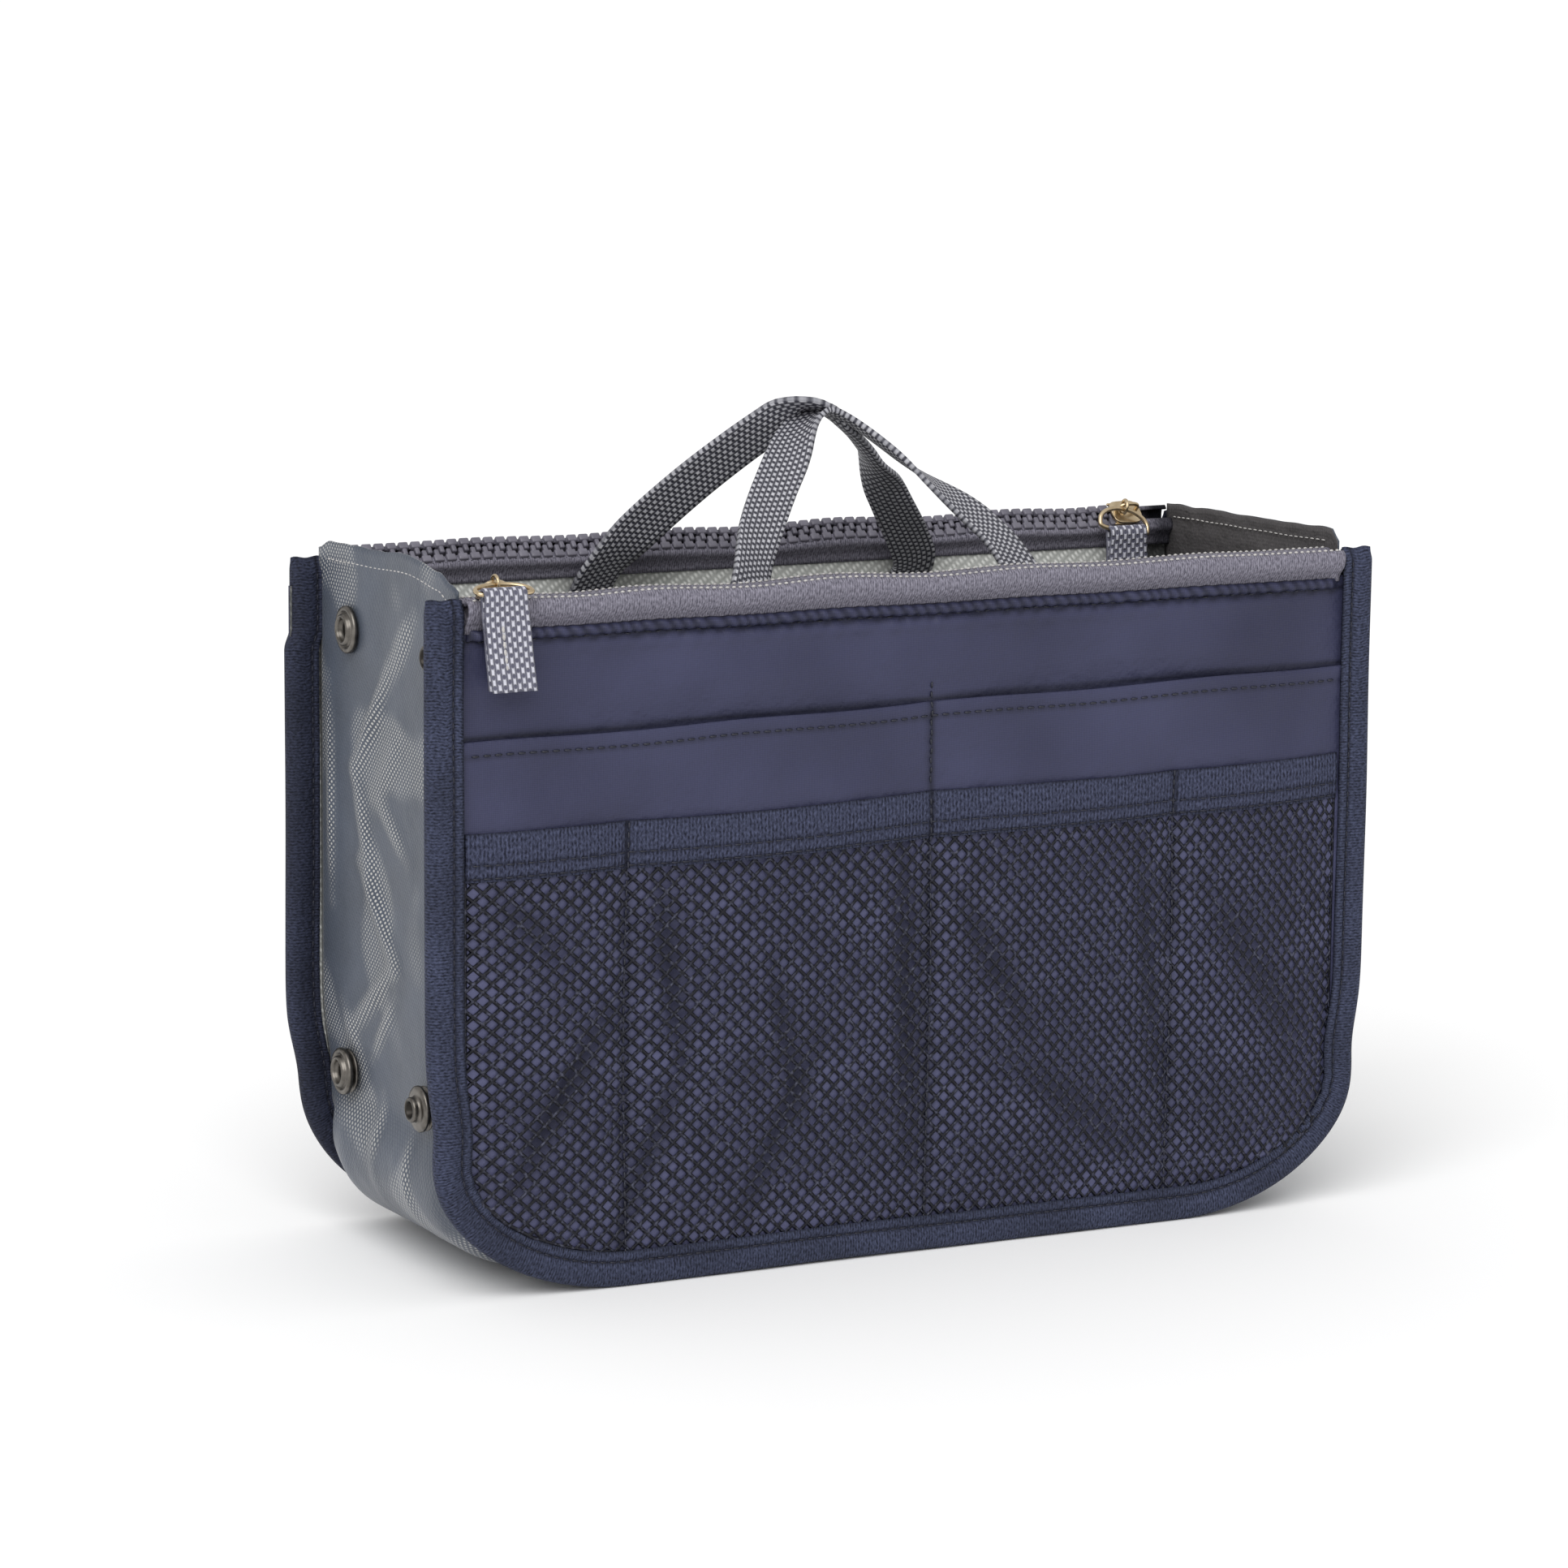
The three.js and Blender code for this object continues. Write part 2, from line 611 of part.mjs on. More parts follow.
// Gusset: one strip from the top of one side, under the bottom, to the top of the other. Its
// edges turn out into the bindings. The bottom sags from the seams to a flat on the table.
function gussetGeometry() {
  const seamInset = bindingReach - gussetCloth / 2;
  const stations = seamStations(seamInset);
  const edge = bagDepth / 2 - layer.flange - gussetCloth / 2;
  const sagStart = bagDepth / 2 - bindingDepth - seatGap - gussetCloth / 2;
  const flatHalf = bagDepth / 2 - flatSetback;
  const sag = seamInset - gussetCloth / 2;
  const tip = seamInset - layerInset;
  const wall = [];
  for (let i = 0; i <= sagSteps; i++) {
    wall.push(THREE.MathUtils.lerp(sagStart, flatHalf, i / sagSteps));
  }
  const across = [...wall.map((y) => -y), ...wall.reverse()];
  const sagAt = (y) => sag * (1 - smoothstep(flatHalf, sagStart, Math.abs(y)));
  const profile = (down) => [
    new THREE.Vector2(-edge, tip),
    new THREE.Vector2(-edge, 0),
    ...across.map((y) => new THREE.Vector2(y, down * sagAt(y))),
    new THREE.Vector2(edge, 0),
    new THREE.Vector2(edge, tip),
  ];
  const faces = stations.map(({ out }) => {
    const line = profile(Math.max(0, -out.y));
    return { 1: offsetLine(line, gussetCloth / 2), "-1": offsetLine(line, -gussetCloth / 2) };
  });
  const rows = across.length + 3;
  const cloth = bentSheet(stations.length - 1, rows, (i, j, side) => {
    const { x, z, out } = stations[i];
    const point = faces[i][side][j];
    return new THREE.Vector3(x + out.x * point.y, point.x, z + out.y * point.y);
  });
  let body = solid(cloth);
  for (const place of snapPlaces()) {
    const hole = new THREE.CylinderGeometry(
      snapPostRadius + seatGap,
      snapPostRadius + seatGap,
      6 * gussetCloth,
      snapSegments,
    );
    hole.rotateZ(Math.PI / 2).translate(place.side * (seamLength / 2), place.y, place.z);
    body = body.subtract(solid(hole));
  }
  return geometryOf(body);
}

// Where the eight snap halves are: studs towards the front, sockets towards the rear.
function snapPlaces() {
  const rows = {
    upper: { z: bindingTop - upperSnapDrop, stud: -upperStudDepth, socket: upperSocketDepth },
    lower: { z: lowerSnapHeight, stud: -lowerStudDepth, socket: lowerSocketDepth },
  };
  const places = [];
  for (const [sideName, side] of [["left", -1], ["right", 1]]) {
    for (const [level, row] of Object.entries(rows)) {
      for (const kind of ["stud", "socket"]) {
        places.push({ name: kind + "_" + level + "_" + sideName, side, y: row[kind], z: row.z });
      }
    }
  }
  return places;
}

// Profiles of the snap parts: radius, and height outwards from the inner face of the gusset.
const snapBase = gussetCloth + seatGap;
const snapBore = snapPostRadius + seatGap;
const snapProfiles = {
  socket: [
    [snapBore, snapBase],
    [snapRadius, snapBase],
    [snapRadius, snapBase + 1.1],
    [snapRadius - 0.9, snapBase + 2.3],
    [snapBore + 2.2, snapBase + 2.5],
    [snapBore + 1.4, snapBase + 1.4],
    [snapBore, snapBase + 1.4],
  ],
  stud: [
    [snapBore, snapBase],
    [snapRadius, snapBase],
    [snapRadius - 0.2, snapBase + 0.8],
    [snapBore + 1.9, snapBase + 1.2],
    [snapBore + 1.1, snapBase + 2],
    [snapBore + 1.4, snapBase + 2.9],
    [snapBore, snapBase + 3.2],
  ],
  cap: [
    [0, -seatGap - 1.1],
    [snapRadius - 1.6, -seatGap - 1],
    [snapRadius - 0.4, -seatGap - 0.4],
    [snapRadius - 0.4, -seatGap],
    [snapPostRadius, -seatGap],
    [snapPostRadius, snapBase + 1.2],
    [0, snapBase + 1.2],
  ],
};

function snapGeometry(kind, side) {
  const profile = snapProfiles[kind].map(([r, h]) => new THREE.Vector2(r, h));
  if (kind !== "cap") profile.push(profile[0].clone());
  const geometry = new THREE.LatheGeometry(profile, snapSegments);
  return geometry.rotateZ((-side * Math.PI) / 2);
}

const group = new THREE.Group();
for (const [prefix, values] of Object.entries(pouches)) group.add(buildPouch(prefix, values));
addMesh(group, "gusset", gussetGeometry(), "greyGusset");
for (const { name, side, y, z } of snapPlaces()) {
  const kind = name.split("_")[0];
  const x = side * (seamLength / 2);
  addMesh(group, "snap_" + name, snapGeometry(kind, side), "gunmetal").position.set(x, y, z);
  const cap = name.replace(kind, kind + "_cap");
  addMesh(group, "snap_" + cap, snapGeometry("cap", side), "gunmetal").position.set(x, y, z);
}

export default group;
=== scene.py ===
import bisect
import math

import bmesh
import bpy
from mathutils import Matrix, Vector, noise


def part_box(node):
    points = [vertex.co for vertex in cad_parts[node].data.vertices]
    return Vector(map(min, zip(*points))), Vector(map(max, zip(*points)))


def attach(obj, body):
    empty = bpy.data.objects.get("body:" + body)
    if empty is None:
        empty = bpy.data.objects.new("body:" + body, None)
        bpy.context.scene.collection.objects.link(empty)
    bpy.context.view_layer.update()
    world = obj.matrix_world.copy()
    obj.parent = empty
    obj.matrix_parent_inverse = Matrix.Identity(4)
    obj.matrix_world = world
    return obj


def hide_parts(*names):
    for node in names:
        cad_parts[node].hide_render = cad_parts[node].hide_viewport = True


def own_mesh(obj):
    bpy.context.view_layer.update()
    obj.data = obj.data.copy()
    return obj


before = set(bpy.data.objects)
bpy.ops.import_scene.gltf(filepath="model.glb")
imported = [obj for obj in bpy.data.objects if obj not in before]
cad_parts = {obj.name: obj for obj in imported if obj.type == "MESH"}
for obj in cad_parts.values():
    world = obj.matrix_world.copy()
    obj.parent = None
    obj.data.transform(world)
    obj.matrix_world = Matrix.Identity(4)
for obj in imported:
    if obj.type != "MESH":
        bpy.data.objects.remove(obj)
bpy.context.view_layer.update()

# Studio. A matt white table runs out to a white room. One very broad light falls from above on
# the left front and lights bag and table evenly. The camera has a long lens, a little above the bag.
mm = 0.001
scene = bpy.context.scene
scene.view_settings.view_transform = "Standard"


def paint(code):
    """An sRGB hex colour as linear red, green, blue and alpha."""
    shares = [int(code[i : i + 2], 16) / 255 for i in (1, 3, 5)]
    return [s / 12.92 if s <= 0.04045 else ((s + 0.055) / 1.055) ** 2.4 for s in shares] + [1]


def new_material(name, roughness, metallic=0):
    """A material and its shader, with the shader's own sockets set."""
    material = bpy.data.materials.new(name)
    material.use_nodes = True
    shader = material.node_tree.nodes["Principled BSDF"]
    shader.inputs["Roughness"].default_value = roughness
    shader.inputs["Metallic"].default_value = metallic
    return material, shader


def add_node(owner, kind, inputs=None, **settings):
    """A node of a material or world with its settings; each input is a value or a socket."""
    node = owner.node_tree.nodes.new(kind)
    for name, value in settings.items():
        setattr(node, name, value)
    for socket, value in (inputs or {}).items():
        if isinstance(value, bpy.types.NodeSocket):
            owner.node_tree.links.new(value, node.inputs[socket])
        else:
            node.inputs[socket].default_value = value
    return node


# Matt white board: it gives a soft shadow and no reflection.
table_top, table_shader = new_material("matt_white_table", 0.9)
table_shader.inputs["Base Color"].default_value = paint("#FDFDFD")
bm = bmesh.new()
bmesh.ops.create_grid(bm, x_segments=1, y_segments=1, size=30)
floor_mesh = bpy.data.meshes.new("table_top")
bm.to_mesh(floor_mesh)
bm.free()
floor_mesh.materials.append(table_top)
floor = bpy.data.objects.new("table_top", floor_mesh)
scene.collection.objects.link(floor)

# The room looks pure white, and gives the bag a little less light than that.
room = bpy.data.worlds.new("white_room")
room.use_nodes = True
backdrop = room.node_tree.nodes["Background"]
backdrop.inputs["Color"].default_value = (1, 1, 1, 1)
seen = add_node(room, "ShaderNodeLightPath")
glow = add_node(
    room, "ShaderNodeMapRange", {"Value": seen.outputs["Is Camera Ray"], "To Min": 0.7, "To Max": 1.0}
)
room.node_tree.links.new(glow.outputs[0], backdrop.inputs["Strength"])
scene.world = room
lamp = bpy.data.lights.new("key_light", "SUN")
lamp.angle = math.radians(50)
lamp.energy = 1.95
light = bpy.data.objects.new("key_light", lamp)
light_falls = Vector((0.5, 0.62, -0.75))
light.rotation_euler = light_falls.to_track_quat("-Z", "Y").to_euler()
scene.collection.objects.link(light)

# The camera's place, in metres, and its turns put the bag's corners where the photo has them.
lens = bpy.data.cameras.new("long_lens")
lens.sensor_width = 36
lens.lens = 130.49
lens.clip_start = 0.05
camera = bpy.data.objects.new("photo_camera", lens)
camera_place = Matrix.Translation((-0.7203, -1.3591, 0.3804))
yaw, pitch, roll = math.radians(27.42), math.radians(9.58), math.radians(0.55)
aim = Vector((math.sin(yaw) * math.cos(pitch), math.cos(yaw) * math.cos(pitch), -math.sin(pitch)))
upright = aim.to_track_quat("-Z", "Y").to_matrix().to_4x4()
camera.matrix_world = camera_place @ upright @ Matrix.Rotation(roll, 4, "Z")
scene.collection.objects.link(camera)
scene.camera = camera

# Outer panels. The upper part of each pouch's outside shows a coated navy nylon, closely woven
# with a soft satin shine. It is sewn into the edge binding all round and to the zip above.
half_bag = 142.5  # from the middle to the outside of the edge binding, in millimetres
corner_wide, corner_high = 58, 42  # the lower corners are quarter ellipses
panel_top = 177.5
top_seam = 174  # height of the row that sews the panel to the zip tape
mouth_height = 150.3  # height of the slip pocket's mouth, half way along
half_seam = 132.5  # from the middle to the seams at the bag's sides
cloth_end = 131  # from the middle to where the cloth goes in under the binding
inset = 1.1  # from the binding's outer edge to the cloth's raw edge
pouches = (("front", False), ("rear", True))


def woven(name, dark, light, roughness, warp, weft, relief, turn=0, cloud=0.3, crumple=0.0, fuzzy=0.3):
    """Cloth with two sets of threads at spacings in millimetres. Its colour runs from dark between
    the threads to light on them, with a slow cloudiness and a fuzz. It may be crumpled a little.
    Painted shade darkens it where the attribute "deep" says that it lies in a fold, and painted
    light lifts it where an attribute says that it lies behind the net."""
    material, shader = new_material(name, roughness)
    shader.inputs["Specular IOR Level"].default_value = 0.25
    cloth = add_node(material, "ShaderNodeUVMap", uv_map="cloth")
    laid = add_node(
        material, "ShaderNodeMapping",
        {"Vector": cloth.outputs[0], "Rotation": (0, 0, math.radians(turn))}
    )
    threads = [
        add_node(
            material, "ShaderNodeTexWave",
            {"Vector": laid.outputs[0], "Scale": math.pi / 10 / spacing, "Distortion": 0.6},
            bands_direction=direction
        ).outputs["Fac"]
        for spacing, direction in ((warp, "X"), (weft, "Y"))
    ]
    weave = add_node(material, "ShaderNodeMath", {0: threads[0], 1: threads[1]}, operation="MULTIPLY")
    # The cloudy patches are 45 mm across, the fuzz 0.8 mm and the crumples 12 mm.
    slow = add_node(
        material, "ShaderNodeTexNoise", {"Vector": cloth.outputs[0], "Scale": 0.022, "Detail": 2}
    )
    fuzz = add_node(
        material, "ShaderNodeTexNoise", {"Vector": cloth.outputs[0], "Scale": 1.3, "Detail": 2}
    )
    uneven = add_node(
        material, "ShaderNodeMix", {0: cloud, 2: weave.outputs[0], 3: slow.outputs["Fac"]}
    )
    lit = add_node(material, "ShaderNodeMix", {0: fuzzy, 2: uneven.outputs[0], 3: fuzz.outputs["Fac"]})
    tone = add_node(
        material, "ShaderNodeMapRange", {"Value": lit.outputs[0], "From Min": 0.2, "From Max": 0.75}
    )
    even = add_node(
        material, "ShaderNodeMix", {0: tone.outputs[0], 6: paint(dark), 7: paint(light)},
        data_type="RGBA"
    )
    # Painted shade: the colour goes towards near black where "deep" says the cloth lies deep.
    deep = add_node(material, "ShaderNodeAttribute", attribute_name="deep")
    # Painted light: the colour is lifted towards #5E6080 where the cloth lies behind the net, in its shade.
    behind = add_node(material, "ShaderNodeAttribute", attribute_name="painted_light_behind_net")
    painted_lift = add_node(
        material, "ShaderNodeMix", {0: behind.outputs["Fac"], 6: even.outputs[2], 7: paint("#5E6080")},
        data_type="RGBA"
    )
    colour = add_node(
        material, "ShaderNodeMix", {0: deep.outputs["Fac"], 6: painted_lift.outputs[2], 7: paint("#0B0C14")},
        data_type="RGBA"
    )
    ripple = add_node(
        material, "ShaderNodeTexNoise",
        {"Vector": cloth.outputs[0], "Scale": 0.08, "Detail": 4, "Roughness": 0.6}
    )
    waves = add_node(
        material, "ShaderNodeBump", {"Height": ripple.outputs["Fac"], "Distance": crumple * mm}
    )
    raised = add_node(
        material, "ShaderNodeBump",
        {"Height": lit.outputs[0], "Normal": waves.outputs[0], "Distance": relief * mm}
    )
    material.node_tree.links.new(colour.outputs[2], shader.inputs["Base Color"])
    material.node_tree.links.new(raised.outputs[0], shader.inputs["Normal"])
    return material


def near(offset, width):
    """1 where offset is 0, fading out over a width to either side."""
    return math.exp(-((offset / width) ** 2))


def lean_in(height):
    """How far the soft sides pull in above the lower corners."""
    return 2.2 * near(height - 44, 13)


def half_width(height, inset):
    """Half the width of a layer at a height, when its edge runs inset from the binding's edge."""
    share = max(corner_high - height, 0) / (corner_high - inset)
    curve = (corner_wide - inset) * math.sqrt(max(1 - share**2, 0))
    return half_bag - corner_wide + curve - lean_in(height)


def smoothstep(low, high, value):
    """0 at low and beyond it, 1 at high and beyond it, and eased between them."""
    share = min(max((value - low) / (high - low), 0), 1)
    return share * share * (3 - 2 * share)


def flat_cloth(width, height, step):
    """Cloth as it was cut: a grid with its lower edge on y 0, its place kept as UV, in mm."""
    bm = bmesh.new()
    bmesh.ops.create_grid(bm, x_segments=round(width / step), y_segments=round(height / step), size=0.5)
    bmesh.ops.scale(bm, vec=(width, height, 1), verts=bm.verts)
    bmesh.ops.translate(bm, vec=(0, height / 2, 0), verts=bm.verts)
    uv = bm.loops.layers.uv.new("cloth")
    for face in bm.faces:
        for loop in face.loops:
            loop[uv].uv = loop.vert.co.xy
    return bm


def on_outline(v, inset):
    """Where a point of flat cloth lies across and up the pouch, when its sides follow the outline."""
    z = inset + v.co.y
    return v.co.x / (half_bag - inset) * half_width(z, inset), z


def finish(name, bm, material, body, replaced=(), turned=False, wall=0.0, middle=-1.0):
    """Makes a piece of a mesh drawn in millimetres. wall gives cloth its thickness. The rear pouch
    is a turned copy, and its lower corner on the left of the photo is drawn in a little."""
    if turned:
        for v in bm.verts:
            v.co.x -= 3.5 * smoothstep(60, 22, v.co.z) * smoothstep(95, 140, v.co.x)
        bmesh.ops.rotate(bm, matrix=Matrix.Rotation(math.pi, 3, "Z"), verts=bm.verts)
    bmesh.ops.scale(bm, vec=(mm, mm, mm), verts=bm.verts)
    mesh = bpy.data.meshes.new(name)
    bm.to_mesh(mesh)
    bm.free()
    mesh.polygons.foreach_set("use_smooth", [True] * len(mesh.polygons))
    mesh.materials.append(material)
    piece = bpy.data.objects.new(name, mesh)
    scene.collection.objects.link(piece)
    if wall:
        solid = piece.modifiers.new("wall", "SOLIDIFY")
        solid.thickness = wall * mm
        solid.offset = middle
    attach(piece, body)
    if replaced:
        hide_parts(*replaced)
    return piece


def zip_sway(x):
    """How far the zip strays up and down along its length, apart from where the slider stops."""
    wave = 0.55 * math.cos((x + 80) * 0.112) * smoothstep(150, -40, x)
    stray = wave + 0.5 * noise.noise((x * 0.021, 3.3, 1.7))
    return stray * smoothstep(-118, -90, x) * smoothstep(112, 88, x)


def mouth(x):
    """Height of the slip pocket's mouth, in front of the panel."""
    return mouth_height + 0.018 * x + 0.25 * math.sin(x * 0.09)


def gathering(x):
    """The small gathers along the seam at the panel's top, from -1 to 1."""
    return math.sin(x + 5 * noise.noise((x * 0.06, 0, 0)))


def panel_puff(x, z):
    """How far the outer panel swells out of its plane, in millimetres."""
    across = math.cos(math.pi / 2 * min(abs(x) / cloth_end, 1)) ** 0.6
    band = smoothstep(150, 162, z) * smoothstep(panel_top, 170, z)
    below = (0.9 + 0.35 * gathering(x)) * near(z - top_seam + 2.6, 1.5)
    soft = 1.5 * noise.noise((x * 0.022 + z * 0.01, z * 0.05, 3.1)) * smoothstep(140, 156, z)
    return 1.1 * across * band + (below + soft) * across


# Coated nylon taffeta: a soft satin shine over flat navy. Its threads are 0.15 mm apart on the real
# cloth and are drawn 0.5 mm apart, which leaves only the faint grain that the coating lets through.
navy_nylon = woven(
    "coated_navy_nylon", "#2A2B40", "#434561", 0.5, 0.5, 0.5, 0.02, cloud=0.7, crumple=1.4, fuzzy=0.1
)
for pouch, turned in pouches:
    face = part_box("front_outer_panel")[0].y / mm
    cloth = flat_cloth(2 * (half_bag - inset), panel_top - inset, 1.1)
    deep = cloth.verts.layers.float.new("deep")
    for v in cloth.verts:
        x, z = on_outline(v, inset)
        # Painted shade along the top seam and in the gap just above the slip pocket's mouth.
        seam = near(z - top_seam - 0.4 * gathering(x), 0.8)
        mouth_gap_shade = near(z - mouth(x) - 0.5, 0.9)
        v[deep] = max(0.8 * seam, 0.7 * mouth_gap_shade)
        v.co = (x, face - panel_puff(x, z), z)
    panel = finish(
        f"{pouch}_panel_cloth", cloth, navy_nylon, f"{pouch}_pouch",
        [f"{pouch}_outer_panel"], turned, wall=0.6
    )
    # At the top the nylon is rolled over the foot of the zip tape, and the roll is gathered.
    rolled_up = 4.4  # the cloth that goes round the roll
    roll = flat_cloth(2 * half_seam - 2, rolled_up, 0.75)
    deep = roll.verts.layers.float.new("deep")
    for v in roll.verts:
        x, round_it = v.co.x, math.pi * (v.co.y / rolled_up - 0.5)
        gather = math.sin(1.75 * x + 0.8 * v.co.y + 4 * noise.noise((x * 0.08, 7, 0)))
        reach = (2.3 + 0.35 * gather) * math.cos(round_it) * smoothstep(half_seam - 1, 128, abs(x))
        # Painted shade in the valleys between the gathers and where the roll turns in at its top and foot.
        v[deep] = max(0.3 - 0.3 * gather, 0.9 * smoothstep(0.9, 1.45, abs(round_it)))
        z = top_seam + 1.5 + 0.3 * zip_sway(x) + (1.5 + 0.1 * gather) * math.sin(round_it)
        v.co = (x, face - 0.35 - reach, z)
    seam_roll = finish(
        f"{pouch}_panel_roll", roll, navy_nylon, f"{pouch}_pouch", (), turned, wall=0.6
    )

# Slip pockets. A second sheet of the same nylon covers the panel up to an open mouth that runs a
# little uphill. Its mouth is hemmed, and one seam in the middle parts it into two pockets.
middle_seam = 4
net_seams = (-86.5, 79.5, middle_seam)  # the seams that part the net, which the nylon shows too
net_bounds = sorted((-cloth_end, *net_seams, cloth_end))
hem_drop = 3.8  # from the mouth down to the row that sews its hem


def between(x, seams):
    """0 at a seam and 1 half way to the next."""
    for left, right in zip(seams, seams[1:]):
        if left <= x <= right:
            return math.sin(math.pi * (x - left) / (right - left)) ** 0.7
    return 0


def crease(x, z, lines):
    """Depth of the folds at a point. Each line gives its two ends, its half width and depth."""
    total = 0
    for x0, z0, x1, z1, width, depth in lines:
        run, rise = x1 - x0, z1 - z0
        share = min(max(((x - x0) * run + (z - z0) * rise) / (run * run + rise * rise), 0), 1)
        off = math.hypot(x - x0 - share * run, z - z0 - share * rise)
        fade = math.sin(math.pi * min(max(share, 0.08), 0.92)) ** 0.7
        total += depth * fade * near(off, width)
    return total


# The folds of the slip pocket under the net: two ends as x and z, half the width, and the depth.
slip_folds = (
    (-92, 74, -118, 30, 3.2, 2.3), (-76, 106, -70, 60, 3.0, 1.9), (-70, 58, -88, 12, 3.2, 1.4),
    (-44, 84, -34, 40, 2.6, 1.4), (-30, 62, -52, 14, 3.0, 1.6), (-4, 112, -1, 26, 3.4, 2.0),
    (14, 96, 34, 60, 3.6, 1.5), (30, 50, 66, 24, 4.4, 1.3), (70, 108, 76, 40, 2.8, 1.1),
    (92, 92, 120, 50, 4.2, 1.2), (-124, 108, -104, 88, 3.2, 1.0)
)


def slip_swell(x, z):
    """How far the slip pocket stands out of its plane where it is smooth."""
    open_part = between(x, (-cloth_end, middle_seam, cloth_end))
    netted_part = between(x, net_bounds)
    high = smoothstep(118, 142, z)
    across = netted_part + (open_part - netted_part) * high
    return 2.5 * across * smoothstep(3, 34, z) * (1 - 0.3 * smoothstep(126, 146, z))


def slip_face(x, z):
    """The slip pocket with its folds, the puckers at its seam and its slightly open mouth."""
    away = abs(x - middle_seam)
    pucker = 0.3 * math.sin(1.2 * z + noise.noise((0, 0, z * 0.2))) * math.exp(-away / 5)
    ripple = 0.55 * noise.noise((x * 0.05, z * 0.09, 7.7)) * smoothstep(0, 14, away)
    lip = 0.5 * smoothstep(mouth(x) - 16, mouth(x), z) * smoothstep(0, 9, away)
    hem = 0.25 * smoothstep(mouth(x) - 4.4, mouth(x) - 3.2, z)
    folds = crease(x, z, slip_folds) * smoothstep(126, 112, z)
    return max(slip_swell(x, z) + pucker + ripple + lip + hem - folds, -0.05)


def slip_painted_shade(x, z):
    """How much painted shade the slip pocket's cloth gets, from 0 to 1: in its folds, along its
    seams and under its hem."""
    folds = 0.3 * crease(x, z, slip_folds) * smoothstep(128, 108, z)
    seams = max(near(x - seam, 2.2) for seam in net_seams) * 0.55 * smoothstep(116, 106, z)
    middle = 0.7 * near(x - middle_seam, 1.0)
    hem = 0.4 * near(z - mouth(x) + hem_drop, 0.7)
    return min(folds + max(seams, middle) + hem, 0.85)


def stitch_row(bm, line, pitch=3.0, length=2.1, radius=0.24):
    """Stitches along a line of points: short worn threads that lie end to end with small gaps."""
    walked, due = 0.0, pitch / 2
    for start, end in zip(line, line[1:]):
        run = (end - start).length
        while due <= walked + run:
            heading = (end - start).to_track_quat("X", "Z").to_matrix().to_4x4()
            place = Matrix.Translation(start.lerp(end, (due - walked) / run))
            size = Matrix.Diagonal((length / 2, radius, radius, 1))
            bmesh.ops.create_icosphere(bm, subdivisions=1, radius=1, matrix=place @ heading @ size)
            due += pitch
        walked += run


# Polyester sewing thread, dyed nearly black: round and slightly shiny. Its fuzz is 1.1 mm a tuft.
dark_thread, dark_shader = new_material("dark_sewing_thread", 0.5)
lustre = add_node(
    dark_thread, "ShaderNodeTexNoise",
    {"Vector": add_node(dark_thread, "ShaderNodeTexCoord").outputs["Object"], "Scale": 0.9 / mm}
)
strand = add_node(
    dark_thread, "ShaderNodeMix", {0: lustre.outputs["Fac"], 6: paint("#090A11"), 7: paint("#242638")},
    data_type="RGBA"
)
dark_thread.node_tree.links.new(strand.outputs[2], dark_shader.inputs["Base Color"])

for pouch, turned in pouches:
    slip_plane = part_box("front_slip_pocket")[0].y / mm
    panel_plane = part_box("front_outer_panel")[0].y / mm
    cloth = flat_cloth(2 * (half_bag - inset), mouth_height - inset, 1.4)
    deep = cloth.verts.layers.float.new("deep")
    behind = cloth.verts.layers.float.new("painted_light_behind_net")
    for v in cloth.verts:
        share = v.co.y / (mouth_height - inset)
        z = inset + share * (mouth(v.co.x) - inset)
        x = v.co.x / (half_bag - inset) * half_width(z, inset)
        v[deep] = slip_painted_shade(x, z)
        # Painted light: the nylon behind the net is lifted in colour against the net's shade, so that
        # it looks as light there as beside it.
        v[behind] = 0.45 * smoothstep(120, 114, z)
        v.co = (x, slip_plane - slip_face(x, z), z)
    slip = finish(
        f"{pouch}_slip_cloth", cloth, navy_nylon, f"{pouch}_pouch",
        [f"{pouch}_slip_pocket"], turned, wall=0.4
    )
    sewing = bmesh.new()
    hem_line = [
        Vector((x, slip_plane - slip_face(x, mouth(x) - hem_drop) - 0.12, mouth(x) - hem_drop))
        for x in range(-cloth_end, cloth_end + 1)
    ]
    stitch_row(sewing, hem_line, pitch=3.2, length=2.4, radius=0.34)
    # The middle seam runs on over the mouth for two stitches in the panel.
    seam_line = [
        *(Vector((middle_seam, slip_plane - slip_face(middle_seam, z) - 0.15, z)) for z in range(128, 152)),
        *(Vector((middle_seam, panel_plane - panel_puff(middle_seam, z) - 0.15, z)) for z in (153, 156)),
    ]
    stitch_row(sewing, seam_line, pitch=2.6, radius=0.36)
    top_line = [
        Vector((x, panel_plane - panel_puff(x, top_seam) - 0.1, top_seam + 0.25 * math.sin(x * 0.9)))
        for x in range(2 - cloth_end, cloth_end - 1)
    ]
    stitch_row(sewing, top_line, radius=0.3)
    stitches = finish(
        f"{pouch}_pocket_stitches", sewing, dark_thread, f"{pouch}_pouch", (), turned
    )

# Net pockets. A knotted net with diamond gaps is stretched over the lower part and parted by
# seams into four pockets. A ribbed tape is folded over its mouth and sewn with two rows.
net_cell = (4.2, 4.4)  # width and height of a diamond
net_cells = 90  # rows of the square piece of net that the pocket is cut from
net_middle, net_top = 60, 116  # height of that piece's middle, and of the net's cut upper edge
net_hidden = 9  # how far inside the bag's edge the net ends, under the binding
net_slope = 0.0145  # the net and its tape run a little uphill
yarn = 0.95
tape_height = 12.7
tape_rows = (0.9, 4.4)  # rows of stitches, over the tape's lower edge


def tape_low(x):
    """Height of the lower edge of the tape on the net's mouth."""
    return 113.3 + net_slope * x + 0.3 * math.sin(x * 0.05 + 1)


